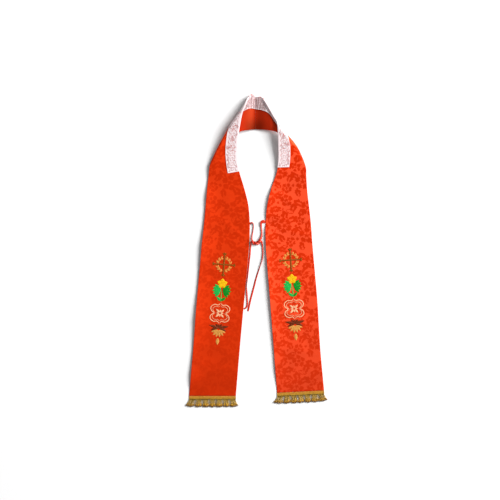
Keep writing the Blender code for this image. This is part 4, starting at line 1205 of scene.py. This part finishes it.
def stitched(name, strip, place, turn, strokes, thread):
    """One mesh of satin-stitch strokes in one thread. Each stroke is a low dome over its path, closed below,
    laid on the panel a hair above the damask."""
    paths = np.stack([path for path, _ in strokes]) * MILLIMETRE
    widths = np.stack([width for _, width in strokes])[..., None] * MILLIMETRE
    side = left_of(unit(np.gradient(paths, axis=1)))
    t = np.array([-1.0, -0.6, 0.0, 0.6, 1.0, 0.6, 0.0, -0.6])
    flat = paths[:, :, None] + (t * widths)[..., None] * side[:, :, None]
    flat = place + flat @ np.array(heading(turn))
    top = STITCH_GAP + STITCH_HEIGHT * np.sqrt(1.0 - t * t)
    dome = np.where(np.arange(8) < 5, top, STITCH_BASE)
    dome = np.broadcast_to(dome * np.minimum(1.0, 0.3 + widths / 0.0012), flat.shape[:-1])
    quads = tube_quads(STROKE_POINTS, len(t), len(strokes))
    run = np.cumsum(np.linalg.norm(np.diff(paths, axis=1, prepend=paths[:, :1]), axis=2), axis=1)
    run = run[..., None] + 0.031 * np.arange(len(strokes))[:, None, None]
    uv = np.stack(np.broadcast_arrays(run, t * widths), axis=-1)
    return made_of(name, strip.lay(flat, dome), quads, (thread,), uv)


def thread_finish(name, colour):
    """Shiny rayon thread: ridges across each stroke, a stitch apart, darkened between them as painted shade,
    with a shade that varies from stitch to stitch."""
    tint = tuple(0.15 + 0.85 * channel / max(colour) for channel in colour)
    finish, tree, shader = new_finish(name, 0.38, sheen=0.1, specular=0.4, gloss_tint=tint)
    place, along, _ = on_cut(tree)
    ridge = abs((along * 6600.0).math("SINE"))
    shade = ridge.times(0.3, 0.75) * (noise(tree, place, (2100.0, 90.0)) + 0.5)
    dye(tree, shader, colour, shade, ridge, 0.7, THREAD_DEPTH)
    return finish


threads = {name: thread_finish(name + " thread", colour) for name, (colour, _) in THREADS.items()}
embroidery = {"left": [], "right": []}
for side, strip, place, turn in COLUMNS_PLACED:
    for name, (_, strokes) in THREADS.items():
        piece = stitched(f"{side}_{name}", strip, place, turn, strokes, threads[name])
        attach(piece, "root")
        "damask_" + side
        embroidery[side].append(piece)

# ---- Floor, light and camera ----
# A plain pale floor with the stole lying on it, a large soft lamp low on the right, even soft light from all
# round, and a camera that looks straight down.

FLOOR_REACH, FLOOR_WHITE, ROUND_LIGHT = 30.0, (0.71, 0.71, 0.71, 1.0), 0.37
LAMP_PLACE, LAMP_SIZE, LAMP_WATTS = (7.8, 3.75, 5.25), 7.2, 2990.0
VIEW_WIDTH, VIEW_CENTRE, CAMERA_HEIGHT = 1.75, (-0.0225, 0.0027), 5.0
FILM_WIDTH = 36.0

floor_mesh = bpy.data.meshes.new("floor")
floor_corners = [(x * FLOOR_REACH, y * FLOOR_REACH, 0.0) for x, y in ((-1, -1), (1, -1), (1, 1), (-1, 1))]
floor_mesh.from_pydata(floor_corners, [], [(0, 1, 2, 3)])
floor_finish, _, floor_shader = new_finish("floor white", 0.9)
floor_shader.inputs["Base Color"].default_value = FLOOR_WHITE
floor_mesh.materials.append(floor_finish)
put_in("floor", floor_mesh)

lamp = bpy.data.lights.new("low lamp", "AREA")
lamp.shape = "SQUARE"
lamp.size = LAMP_SIZE
lamp.energy = LAMP_WATTS
held_lamp = put_in("low lamp", lamp)
held_lamp.location = LAMP_PLACE
held_lamp.rotation_euler = (-Vector(LAMP_PLACE)).to_track_quat("-Z", "Y").to_euler()

world = bpy.data.worlds.new("studio")
world.use_nodes = True
round_light = world.node_tree.nodes["Background"].inputs
round_light["Color"].default_value = (1.0, 1.0, 1.0, 1.0)
round_light["Strength"].default_value = ROUND_LIGHT
bpy.context.scene.world = world
bpy.context.scene.view_settings.view_transform = "Standard"

camera_data = bpy.data.cameras.new("camera")
camera_data.sensor_width = FILM_WIDTH
camera_data.lens = FILM_WIDTH * CAMERA_HEIGHT / VIEW_WIDTH
camera = put_in("camera", camera_data)
camera.location = (*VIEW_CENTRE, CAMERA_HEIGHT)
bpy.context.scene.camera = camera
